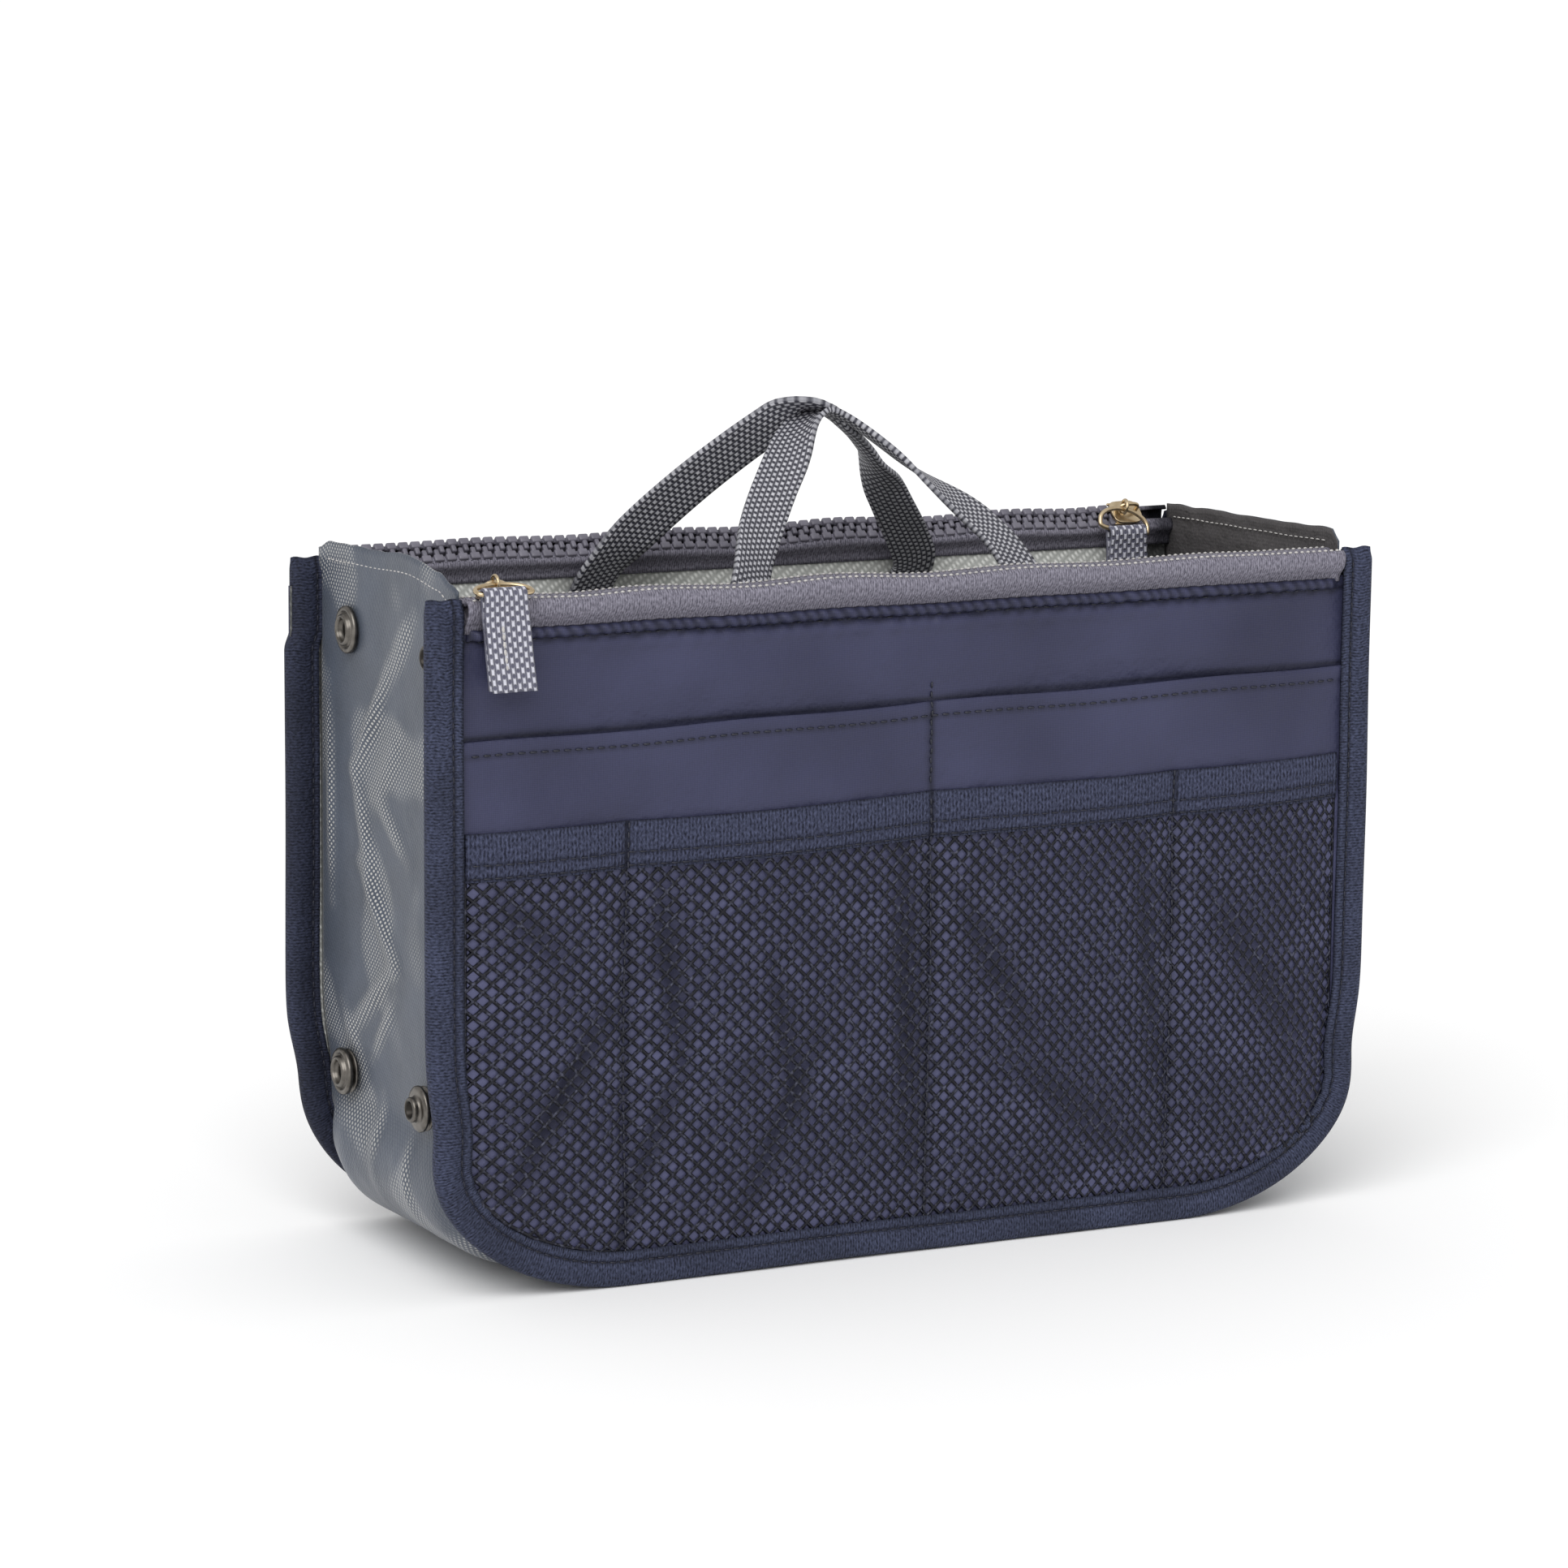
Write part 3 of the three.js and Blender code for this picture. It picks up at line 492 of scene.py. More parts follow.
def net_face(x, z):
    """How far the net stands out of the slip pocket's plane."""
    own = 0.3 * between(x, net_bounds) * smoothstep(2, 26, z)
    soft = 0.25 * noise.noise((x * 0.06, z * 0.05, 11.3)) * between(x, net_bounds)
    away = min(abs(x - seam) for seam in net_bounds)
    return slip_swell(x, z) + 0.45 + own + soft - 0.2 * math.exp(-away / 2)


# Twisted nylon yarn: nearly black, with painted highlights where its twist, 1.1 mm a turn, comes up.
net_yarn, yarn_shader = new_material("twisted_net_yarn", 0.5)
yarn_shader.inputs["Specular IOR Level"].default_value = 0.3
yarn_place = add_node(net_yarn, "ShaderNodeTexCoord")
twist = add_node(
    net_yarn, "ShaderNodeTexNoise",
    {"Vector": yarn_place.outputs["Object"], "Scale": 0.9 / mm, "Detail": 2}
)
painted_glints = add_node(
    net_yarn, "ShaderNodeMapRange", {"Value": twist.outputs["Fac"], "From Min": 0.5, "From Max": 0.75}
)
yarn_colour = add_node(
    net_yarn, "ShaderNodeMix", {0: painted_glints.outputs[0], 6: paint("#0D0E18"), 7: paint("#4A4C5E")},
    data_type="RGBA"
)
yarn_bump = add_node(
    net_yarn, "ShaderNodeBump", {"Height": twist.outputs["Fac"], "Distance": 0.25 * mm}
)
net_yarn.node_tree.links.new(yarn_colour.outputs[2], yarn_shader.inputs["Base Color"])
net_yarn.node_tree.links.new(yarn_bump.outputs[0], yarn_shader.inputs["Normal"])


def ribbed(name, dark, light, rib, relief, turn=0):
    """Ribbed tape: uneven ribs at a spacing in millimetres run across it, broken into fuzzy picks
    of lighter and darker yarn. Painted shade darkens it where the attribute "deep" says that it is sunk."""
    material, shader = new_material(name, 0.75)
    shader.inputs["Specular IOR Level"].default_value = 0.2
    cloth = add_node(material, "ShaderNodeUVMap", uv_map="cloth")
    laid = add_node(
        material, "ShaderNodeMapping",
        {"Vector": cloth.outputs[0], "Rotation": (0, 0, math.radians(turn))}
    )
    ribs = add_node(
        material, "ShaderNodeTexWave",
        {
            "Vector": laid.outputs[0], "Scale": math.pi / 10 / rib, "Distortion": 3.0,
            "Detail": 3.0, "Detail Scale": 3.0,
        },
        bands_direction="X",
    )
    # The picks are 0.6 mm across and 1.1 mm long.
    drawn = add_node(material, "ShaderNodeMapping", {"Vector": laid.outputs[0], "Scale": (1.7, 0.9, 1)})
    picks = add_node(
        material, "ShaderNodeTexNoise", {"Vector": drawn.outputs[0], "Scale": 1.0, "Detail": 2}
    )
    spots = add_node(
        material, "ShaderNodeMapRange",
        {"Value": picks.outputs["Fac"], "From Min": 0.36, "From Max": 0.66}
    )
    height = add_node(material, "ShaderNodeMix", {0: 0.62, 2: ribs.outputs["Fac"], 3: spots.outputs[0]})
    even = add_node(
        material, "ShaderNodeMix", {0: height.outputs[0], 6: paint(dark), 7: paint(light)},
        data_type="RGBA"
    )
    # Painted shade: the colour goes towards near black where "deep" is high.
    deep = add_node(material, "ShaderNodeAttribute", attribute_name="deep")
    colour = add_node(
        material, "ShaderNodeMix", {0: deep.outputs["Fac"], 6: even.outputs[2], 7: paint("#0B0C14")},
        data_type="RGBA"
    )
    raised = add_node(
        material, "ShaderNodeBump", {"Height": height.outputs[0], "Distance": relief * mm}
    )
    material.node_tree.links.new(colour.outputs[2], shader.inputs["Base Color"])
    material.node_tree.links.new(raised.outputs[0], shader.inputs["Normal"])
    return material


# Grosgrain: a stiff ribbed tape of dull polyester. Its ribs cross the band, 1.1 mm apart.
grosgrain = ribbed("ribbed_navy_tape", "#131524", "#4A4F68", 1.1, 0.3)

for pouch, turned in pouches:
    bm = bmesh.new()
    bmesh.ops.create_grid(bm, x_segments=net_cells, y_segments=net_cells, size=net_cells / 2)
    bmesh.ops.rotate(bm, matrix=Matrix.Rotation(math.pi / 4, 3, "Z"), verts=bm.verts)
    bmesh.ops.scale(bm, vec=(net_cell[0] / math.sqrt(2), net_cell[1] / math.sqrt(2), 1), verts=bm.verts)
    bmesh.ops.translate(bm, vec=(0, net_middle, 0), verts=bm.verts)
    # It is cut off straight at both sides and on top, and in nine short cuts round each corner.
    cuts = [((-cloth_end - 1, 0), (-1, 0)), ((cloth_end + 1, 0), (1, 0)), ((0, net_top), (0, 1))]
    for step in range(9):
        angle = math.pi / 2 * step / 8
        wide, high = corner_wide - net_hidden, corner_high - net_hidden
        rim = Vector((half_bag - corner_wide, corner_high))
        rim += Vector((wide * math.sin(angle), -high * math.cos(angle)))
        away = Vector((math.sin(angle) / wide, -math.cos(angle) / high)).normalized()
        for side in (-1, 1):
            cuts.append(((side * rim.x, rim.y), (side * away.x, away.y)))
    for place, outward in cuts:
        bmesh.ops.bisect_plane(
            bm, geom=[*bm.verts, *bm.edges, *bm.faces], plane_co=(*place, 0), plane_no=(*outward, 0),
            clear_outer=True
        )
    bmesh.ops.wireframe(
        bm, faces=bm.faces, thickness=yarn, offset=0, use_replace=True, use_boundary=True,
        use_even_offset=True
    )
    uv = bm.loops.layers.uv.new("cloth")
    for f in bm.faces:
        for loop in f.loops:
            loop[uv].uv = loop.vert.co.xy
    for v in bm.verts:
        # The net is stretched more on the left, so its diamonds are wider there.
        x = v.co.x + 10.9 * (1 - (v.co.x / cloth_end) ** 2)
        z = v.co.y + net_slope * x * smoothstep(20, 110, v.co.y)
        v.co = (x, slip_plane - net_face(x, z) - 0.4 * v.co.z, z)
    finish(
        f"{pouch}_net", bm, net_yarn, f"{pouch}_pouch", [f"{pouch}_mesh_pocket"], turned
    )
    band = flat_cloth(2 * (cloth_end + 1.2), tape_height, 0.8)
    deep = band.verts.layers.float.new("deep")
    for v in band.verts:
        z = tape_low(v.co.x) + v.co.y
        x = v.co.x
        # Painted shade along the sewn rows, where the seams cross and at the top edge.
        sewn = max(near(v.co.y - rise, 0.45) for rise in tape_rows)
        crossed = max(near(x - seam, 0.9) for seam in net_seams)
        rim = smoothstep(tape_height - 0.9, tape_height, v.co.y)
        v[deep] = max(0.75 * sewn, 0.8 * crossed, 0.6 * rim)
        fold = 0.35 * math.sin(math.pi * v.co.y / tape_height) - 0.2 * sewn
        v.co = (x, slip_plane - net_face(x, z) - 0.45 - fold, z)
    finish(
        f"{pouch}_net_tape", band, grosgrain, f"{pouch}_pouch",
        [f"{pouch}_mesh_top_tape"], turned, wall=0.7
    )
    sewing = bmesh.new()
    for rise in tape_rows:
        row = []
        for x in range(-cloth_end, cloth_end + 1):
            z = tape_low(x) + rise
            fold = 0.35 * math.sin(math.pi * rise / tape_height)
            row.append(Vector((x, slip_plane - net_face(x, z) - 0.5 - fold, z)))
        stitch_row(sewing, row, length=2.5, radius=0.22)
    for seam in net_seams:
        line = []
        for z in range(8, round(tape_low(seam) + tape_height) + 1):
            out = 0.95 if z > tape_low(seam) else 0.3
            sway = 0.5 * math.sin(z * 0.05 + seam)
            line.append(Vector((seam + sway, slip_plane - net_face(seam, z) - out, z)))
        stitch_row(sewing, line, pitch=2.6, length=2.3, radius=0.34)
    finish(f"{pouch}_net_stitches", sewing, dark_thread, f"{pouch}_pouch", (), turned)

# Linings. The inner wall of each pouch is a thin grey cloth with a fine slanting twill. A low slip
# pocket of the same cloth is sewn to it, with a hemmed mouth and one seam in the middle.
inner_mouth = 132
inner_inset = 10.3  # the inner pocket ends just inside the binding
strap_spots = (-46, 38, 54)  # where straps are sewn on either lining


def lining_wave(x, z):
    """How far the lining stands out towards the middle of the bag, in millimetres."""
    across = math.cos(math.pi / 2 * min(abs(x) / cloth_end, 1)) ** 0.5
    across *= smoothstep(top_seam, 150, z)
    return across * (0.7 + 1.1 * noise.noise((x * 0.02, z * 0.028, 21.5))) * smoothstep(8, 40, z)


def lining_top(x, z):
    """The lining swells out to meet the foot of the zip tape, but less where a strap is sewn."""
    sewn = sum(near(x - spot, 11) for spot in strap_spots) * smoothstep(177, 171, z)
    swell = 2.5 * smoothstep(118, 160, z) * smoothstep(cloth_end, 120, abs(x))
    return swell * (1 - 0.95 * min(sewn, 1))


# Thin polyester twill, dull and slightly crumpled, with slanting lines. They are 0.7 mm apart on
# the real cloth and are drawn 1.3 mm apart so that they show.
grey_twill = woven("grey_twill_lining", "#ABADA9", "#F6F7F3", 0.8, 1.3, 2.6, 0.2, turn=38, crumple=0.8)
for pouch, turned in pouches:
    lining_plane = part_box("front_lining_panel")[1].y / mm
    lining = flat_cloth(2 * (half_bag - inset), panel_top - inset, 2.2)
    deep = lining.verts.layers.float.new("deep")
    for v in lining.verts:
        x, z = on_outline(v, inset)
        # Painted shade towards the lining's upper corners, inside the pouch.
        v[deep] = 0.85 * smoothstep(112, 124, abs(x)) * smoothstep(120, 150, z)
        v.co = (x, lining_plane + lining_wave(x, z) + lining_top(x, z), z)
    bmesh.ops.reverse_faces(lining, faces=lining.faces)
    back = finish(
        f"{pouch}_lining_cloth", lining, grey_twill, f"{pouch}_pouch",
        [f"{pouch}_lining_panel"], turned, wall=0.4
    )
    pocket_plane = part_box("front_inner_pocket")[1].y / mm
    pocket = flat_cloth(2 * (half_bag - inner_inset), inner_mouth - inner_inset, 2.2)
    for v in pocket.verts:
        x, z = on_outline(v, inner_inset)
        gape = 0.9 * between(x, (-cloth_end, 0, cloth_end)) * smoothstep(20, inner_mouth, z)
        hem = 0.3 * smoothstep(inner_mouth - 9.5, inner_mouth - 8.5, z)
        v.co = (x, pocket_plane + lining_wave(x, z) + gape + hem, z)
    bmesh.ops.reverse_faces(pocket, faces=pocket.faces)
    inner = finish(
        f"{pouch}_inner_pocket_cloth", pocket, grey_twill, f"{pouch}_pouch",
        [f"{pouch}_inner_pocket"], turned, wall=0.4
    )
    for cloth, edge, height in ((back, inset, panel_top), (inner, inner_inset, inner_mouth)):
        wide, high = 2 * (half_bag - edge), height - edge

# Handles. Each is one length of woven webbing whose ends are sewn flat on the lining with a boxed
# cross. It twists a quarter turn on its way up, so that it lies across the hand at the top.
strap_width = 12.2
strap_wall = 1.4
strap_gap = 0.3  # from the lining to the strap, and from the foot's top to the strap's end
handle_hinge = 169
foot_height = 25
# For each handle, seen from its own side of the bag: where its feet are, how far it leans towards
# the middle in degrees, the strap's middle line in the plane that leans, and at shares of its
# length how far the strap is twisted, in degrees, and curled up along its middle.
handles = {
    "front": {
        "feet": (-46, 38),
        "lean": 40,
        "line": [
            (-46, 0), (-45.5, 11), (-39.5, 26.5), (-30.5, 41.5), (-20.5, 55.5), (-12, 66.5), (-4.5, 72),
            (3.5, 67), (12.5, 56.5), (21.5, 46.5), (30.5, 36.5), (37, 26), (40, 12), (38, 0)
        ],
        "twist": [
            (0, 0), (0.05, 0), (0.13, 24), (0.26, 0), (0.33, -8), (0.46, -52), (0.62, -54), (0.8, -16),
            (1, 0)
        ],
        "cup": [(0, 0), (0.3, 0), (0.42, 0.6), (0.58, 0.3), (0.7, 0), (1, 0)]
    },
    "rear": {
        "feet": (-46, 54),
        "lean": 38,
        "line": [
            (-46, 0), (-47, 8), (-41, 18), (-30.5, 32.2), (-19.5, 47), (-9.5, 58.5), (-1, 66),
            (6, 70.5), (9.5, 71.5), (13.5, 69.5), (20, 63), (27, 55), (36, 43.3), (46, 27.5),
            (53.5, 11.5), (54, 0)
        ],
        "twist": [
            (0, 0), (0.08, -6), (0.22, -24), (0.35, -76), (0.44, -82), (0.5, -44), (0.57, 16),
            (0.84, 24), (0.93, 0), (1, 0)
        ],
        "cup": [(0, 0), (0.12, 0.1), (0.3, 0.6), (0.42, 0.8), (0.5, 0.2), (0.6, 0), (1, 0)]
    }
}


def eased(steps, share):
    """A value that eases from one of the listed steps to the next."""
    for (low, start), (high, end) in zip(steps, steps[1:]):
        if share <= high:
            return start + (end - start) * smoothstep(low, high, share)
    return steps[-1][1]


def rounded(points, times=2):
    """A line with its corners cut a few times, which leaves it smooth."""
    for _ in range(times):
        cut = [points[0]]
        for a, b in zip(points, points[1:]):
            cut += [a.lerp(b, 0.25), a.lerp(b, 0.75)]
        points = [*cut, points[-1]]
    return points


def length_of(points):
    """The length of a line of points."""
    return sum((b - a).length for a, b in zip(points, points[1:]))


def walk(points, distance):
    """The point at a distance along a line, and the direction there."""
    for a, b in zip(points, points[1:]):
        run = (b - a).length
        if distance <= run:
            return a.lerp(b, distance / run), (b - a).normalized()
        distance -= run
    return points[-1].copy(), (points[-1] - points[-2]).normalized()


def two_tone_webbing(name, ground, rib, pick):
    """Polypropylene webbing: rows of raised pale picks on a dark ground, in columns along it. Nine
    columns cross the strap, and the picks of one stand half way between those of the next. It is
    dull, and a faint fuzz of about 1 mm breaks up its tone."""
    material, shader = new_material(name, 0.62)
    cloth = add_node(material, "ShaderNodeUVMap", uv_map="cloth")
    waves = []
    column_pair = 2.84  # width of two columns
    for period, direction in ((column_pair, "X"), (pick, "Y")):
        wave = add_node(
            material, "ShaderNodeTexWave",
            {"Vector": cloth.outputs[0], "Scale": math.pi / 10 / period, "Distortion": 0.5},
            bands_direction=direction
        )
        signed = {0: wave.outputs["Fac"], 1: 2.0, 2: -1.0}
        waves.append(add_node(material, "ShaderNodeMath", signed, operation="MULTIPLY_ADD").outputs[0])
    crossing = add_node(material, "ShaderNodeMath", {0: waves[0], 1: waves[1]}, operation="MULTIPLY")
    dashes = add_node(
        material, "ShaderNodeMapRange",
        {"Value": crossing.outputs[0], "From Min": -0.6, "From Max": 0.1}
    )
    sides = add_node(material, "ShaderNodeMath", {0: waves[0]}, operation="ABSOLUTE")
    columns = add_node(
        material, "ShaderNodeMapRange", {"Value": sides.outputs[0], "From Min": 0.15, "From Max": 0.8}
    )
    spots = add_node(
        material, "ShaderNodeMath", {0: dashes.outputs[0], 1: columns.outputs[0]}, operation="MULTIPLY"
    )
    fuzz = add_node(
        material, "ShaderNodeTexNoise", {"Vector": cloth.outputs[0], "Scale": 0.9, "Detail": 3}
    )
    tone = add_node(
        material, "ShaderNodeMix", {0: fuzz.outputs["Fac"], 6: paint(rib[0]), 7: paint(rib[1])},
        data_type="RGBA"
    )
    colour = add_node(
        material, "ShaderNodeMix", {0: spots.outputs[0], 6: paint(ground), 7: tone.outputs[2]},
        data_type="RGBA"
    )
    raised = add_node(material, "ShaderNodeBump", {"Height": spots.outputs[0], "Distance": 0.4 * mm})
    material.node_tree.links.new(colour.outputs[2], shader.inputs["Base Color"])
    material.node_tree.links.new(raised.outputs[0], shader.inputs["Normal"])
    return material


# Grey polypropylene: its picks are 1.9 mm apart and give the strap its speckled look.
strap_webbing = two_tone_webbing("two_tone_strap_webbing", "#2E2E3A", ("#8E8E98", "#D2D2D6"), 1.9)
for pouch, turned in pouches:
    handle = handles[pouch]
    lining_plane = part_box("front_lining_panel")[1].y / mm
    hinge_y = lining_plane + strap_gap + strap_wall / 2
    arch = rounded([Vector((x, 0, z)) for x, z in handle["line"]], 3)
    reach = length_of(arch)
    strap = flat_cloth(strap_width, reach, 1.3)
    leaning = Matrix.Rotation(math.radians(-handle["lean"]), 4, "X")
    for v in strap.verts:
        place, along = walk(arch, v.co.y)
        turn = math.radians(eased(handle["twist"], v.co.y / reach))
        across = Vector((math.cos(turn) * along.z, math.sin(turn), -math.cos(turn) * along.x))
        curl = max(eased(handle["cup"], v.co.y / reach), 0.01)
        radius = strap_width / 2 / curl
        angle = v.co.x / radius
        bent = across * math.sin(angle) + across.cross(along) * (1 - math.cos(angle))
        v.co = leaning @ (place + radius * bent) + Vector((0, hinge_y, handle_hinge))
    finish(
        f"{pouch}_handle_strap", strap, strap_webbing, f"{pouch}_handle",
        [f"{pouch}_handle"], turned, wall=strap_wall, middle=0
    )
    crosses = bmesh.new()
    for side, centre in zip(("left", "right"), handle["feet"]):
        foot_top = handle_hinge - strap_wall / 2 - strap_gap
        foot = flat_cloth(strap_width, foot_height, 1.3)
        for v in foot.verts:
            x, z = centre + v.co.x, foot_top - foot_height + v.co.y
            v.co = (x, hinge_y + max(lining_wave(x, z), 0), z)
        bmesh.ops.reverse_faces(foot, faces=foot.faces)
        finish(
            f"{pouch}_strap_foot_{side}", foot, strap_webbing, f"{pouch}_pouch",
            [f"{pouch}_handle_foot_{side}"], turned, wall=strap_wall, middle=0
        )
        # The sewn box is 10 mm wide and 15 mm high, with both its diagonals.
        left, right, low, top = centre - 5, centre + 5, foot_top - 23, foot_top - 8
        for a, b in (
            ((left, low), (right, low)), ((right, low), (right, top)), ((right, top), (left, top)),
            ((left, top), (left, low)), ((left, low), (right, top)), ((right, low), (left, top))
        ):
            line = []
            for step in range(11):
                x = a[0] + (b[0] - a[0]) * step / 10
                z = a[1] + (b[1] - a[1]) * step / 10
                y = hinge_y + strap_wall / 2 + max(lining_wave(x, z), 0) + 0.12
                line.append(Vector((x, y, z)))
            stitch_row(crosses, line, pitch=2.4, length=1.8)
    finish(f"{pouch}_foot_stitches", crosses, dark_thread, f"{pouch}_pouch", (), turned)

# Zips. The tapes are ribbed polyester. Each runs flat beside the teeth, turns down and is sewn to
# the panel or the lining. The teeth are moulded plastic, and each row grips the edge of its tape.
outer_face = -49.5  # depth of the pouch's outermost plane, from the middle of the bag
# For each zip: how deep behind that plane and how high its teeth run, how far it leans outwards in
# degrees, where its slider stands, how far its tapes lift, and where its outer tape turns down.
zips = {
    "front": {"depth": 4, "height": 183.3, "lean": 0, "slider": -122.5, "lip": 1.2, "bend": 4.9},
    "rear": {"depth": 5.6, "height": 184.6, "lean": 45, "slider": -117, "lip": 0.1, "bend": 3.4}
}
inner_bend = 4.9  # where the inner tapes turn down
tape_gap = 0.3  # from each tape's foot to the cloth that it is sewn to
tooth_pitch = 3.6


def zip_stray(x):
    """How far the zip strays sideways."""
    return 0.6 * zip_sway(x + 40)


def tape_line(row, side, seam):
    """A zip tape seen on its edge, from the teeth to the seam, as points of y and z."""
    lean = math.radians(row["lean"])
    line = []
    bend = inner_bend if side > 0 else row["bend"]
    for out, up in (
        (1.7, 0), (bend - 1.5, row["lip"]), (bend - 0.4, row["lip"]), (bend, -0.3), (bend, -2.6)
    ):
        across = side * out
        y = outer_face + row["depth"] + across * math.cos(lean) + up * math.sin(lean)
        line.append(Vector((y, row["height"] - across * math.sin(lean) + up * math.cos(lean))))
    if side > 0:
        seam += lining_top(0, panel_top - 1)
    return rounded([*line, Vector((seam, panel_top + 0.2)), Vector((seam, panel_top - 1.5))])


# Polyester tape: flat and dull, of two mixed greys, with ribs 0.7 mm apart.
zip_tape = ribbed("heather_zip_tape", "#4A4853", "#8F8C99", 0.7, 0.12)
# Moulded acetal: grey, half shiny and a little uneven, with patches 3.8 mm across.
tooth_plastic, tooth_shader = new_material("moulded_tooth_plastic", 0.4)
tooth_place = add_node(tooth_plastic, "ShaderNodeTexCoord")
tooth_cloud = add_node(
    tooth_plastic, "ShaderNodeTexNoise",
    {"Vector": tooth_place.outputs["Object"], "Scale": 0.26 / mm, "Detail": 3}
)
tooth_colour = add_node(
    tooth_plastic, "ShaderNodeMix",
    {0: tooth_cloud.outputs["Fac"], 6: paint("#45434E"), 7: paint("#7F7C88")}, data_type="RGBA"
)
tooth_bump = add_node(
    tooth_plastic, "ShaderNodeBump", {"Height": tooth_cloud.outputs["Fac"], "Distance": 0.12 * mm}
)
tooth_plastic.node_tree.links.new(tooth_colour.outputs[2], tooth_shader.inputs["Base Color"])
tooth_plastic.node_tree.links.new(tooth_bump.outputs[0], tooth_shader.inputs["Normal"])
# Polyester sewing thread, pale grey: it shows as light dashes. Its fuzz is 1.2 mm a tuft.
pale_thread, pale_shader = new_material("pale_sewing_thread", 0.6)
fray = add_node(
    pale_thread, "ShaderNodeTexNoise",
    {"Vector": add_node(pale_thread, "ShaderNodeTexCoord").outputs["Object"], "Scale": 0.8 / mm}
)
pale_strand = add_node(
    pale_thread, "ShaderNodeMix", {0: fray.outputs["Fac"], 6: paint("#8E8B8C"), 7: paint("#D2CFCB")},
    data_type="RGBA"
)
pale_thread.node_tree.links.new(pale_strand.outputs[2], pale_shader.inputs["Base Color"])

for pouch, turned in pouches:
    row = zips[pouch]
    lean = Matrix.Rotation(math.radians(-row["lean"]), 4, "X")
    seams = {
        "outer": (-1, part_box("front_outer_panel")[0].y / mm - tape_gap),
        "inner": (1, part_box("front_lining_panel")[1].y / mm + tape_gap)
    }
    for name, (side, seam) in seams.items():
        line = tape_line(row, side, seam)
        deep = length_of(line)
        tape = flat_cloth(2 * half_seam - 0.6, deep, 1.2)
        shade = tape.verts.layers.float.new("deep")
        for v in tape.verts:
            place, _ = walk(line, v.co.y)
            x = v.co.x
            if pouch == "rear":
                # The leaning tape is in shade at its slider's end and along its outer half.
                v[shade] = 0.8 * smoothstep(-122, -129, x) + (0.25 if side < 0 else 0)
            sway = zip_sway(x) * smoothstep(panel_top - 1, panel_top + 5, place.y)
            v.co = (x, place.x - side * zip_stray(x) * (1 - v.co.y / deep), place.y + sway)
        if side > 0:
            bmesh.ops.reverse_faces(tape, faces=tape.faces)
        finish(
            f"{pouch}_tape_{name}", tape, zip_tape, f"{pouch}_pouch",
            [f"{pouch}_zip_tape_{name}"], turned, wall=0.5, middle=0
        )
        sewing = bmesh.new()
        seam_line = []
        for x in range(-cloth_end, cloth_end + 1):
            place, _ = walk(line, 2.2 if side > 0 else 2.5)
            y = place.x - 0.6 * side * zip_stray(x)
            seam_line.append(Vector((x, y, place.y + zip_sway(x) + (0.35 if pouch == "front" else 0.1))))
        stitch_row(sewing, seam_line, pitch=1.9, length=1.3, radius=0.36 if pouch == "front" else 0.25)
        yarn_used = pale_thread if pouch == "front" else dark_thread
        finish(f"{pouch}_tape_stitches_{name}", sewing, yarn_used, f"{pouch}_pouch", (), turned)
        teeth = bmesh.new()
        first = row["slider"] - 1.2 + (tooth_pitch / 2 if side > 0 else 0)
        for i in range(int((half_seam - tooth_pitch - first) / tooth_pitch) + 1):
            x = first + i * tooth_pitch
            away = Matrix.Translation(
                (x, outer_face + row["depth"] - zip_stray(x), row["height"] + zip_sway(x))
            )
            # Each tooth has a narrow head that meets the other row and a wide foot on the tape.
            for across, wide, deep_in, tall in ((0.9, 1.4, 3.0, 1.9), (2.5, 2.8, 2.2, 2.4)):
                size = Matrix.Diagonal((wide, deep_in, tall, 1))
                bmesh.ops.create_cube(
                    teeth, size=1, matrix=away @ lean @ Matrix.Translation((0, side * across, 0)) @ size
                )
        bmesh.ops.bevel(
            teeth, geom=teeth.edges, offset=0.4, segments=2, profile=0.5, affect="EDGES", material=-1
        )
        finish(
            f"{pouch}_teeth_{name}", teeth, tooth_plastic, f"{pouch}_pouch",
            [f"{pouch}_zip_teeth_{name}"], turned
        )

# Sliders. Each is a plated casting: two plates with a divider between them and flanges that hold
# the tapes, and a bridge on top that the pull hangs from. It runs along the teeth.
# Plated zinc casting: a pale gold metal, shiny but rubbed, with patches 2.4 mm across that are
# lighter and duller, and faintly uneven.
pale_gold, gold_shader = new_material("pale_gold_plating", 0.26, metallic=1)
gold_place = add_node(pale_gold, "ShaderNodeTexCoord")
rubbed = add_node(
    pale_gold, "ShaderNodeTexNoise",
    {"Vector": gold_place.outputs["Object"], "Scale": 0.42 / mm, "Detail": 4}
)
gold_tone = add_node(
    pale_gold, "ShaderNodeMix", {0: rubbed.outputs["Fac"], 6: paint("#A88E66"), 7: paint("#E2D2B4")},
    data_type="RGBA"
)
gold_dull = add_node(
    pale_gold, "ShaderNodeMapRange", {"Value": rubbed.outputs["Fac"], "To Min": 0.2, "To Max": 0.42}
)
gold_bump = add_node(
    pale_gold, "ShaderNodeBump", {"Height": rubbed.outputs["Fac"], "Distance": 0.05 * mm}
)
pale_gold.node_tree.links.new(gold_tone.outputs[2], gold_shader.inputs["Base Color"])
pale_gold.node_tree.links.new(gold_dull.outputs[0], gold_shader.inputs["Roughness"])
pale_gold.node_tree.links.new(gold_bump.outputs[0], gold_shader.inputs["Normal"])


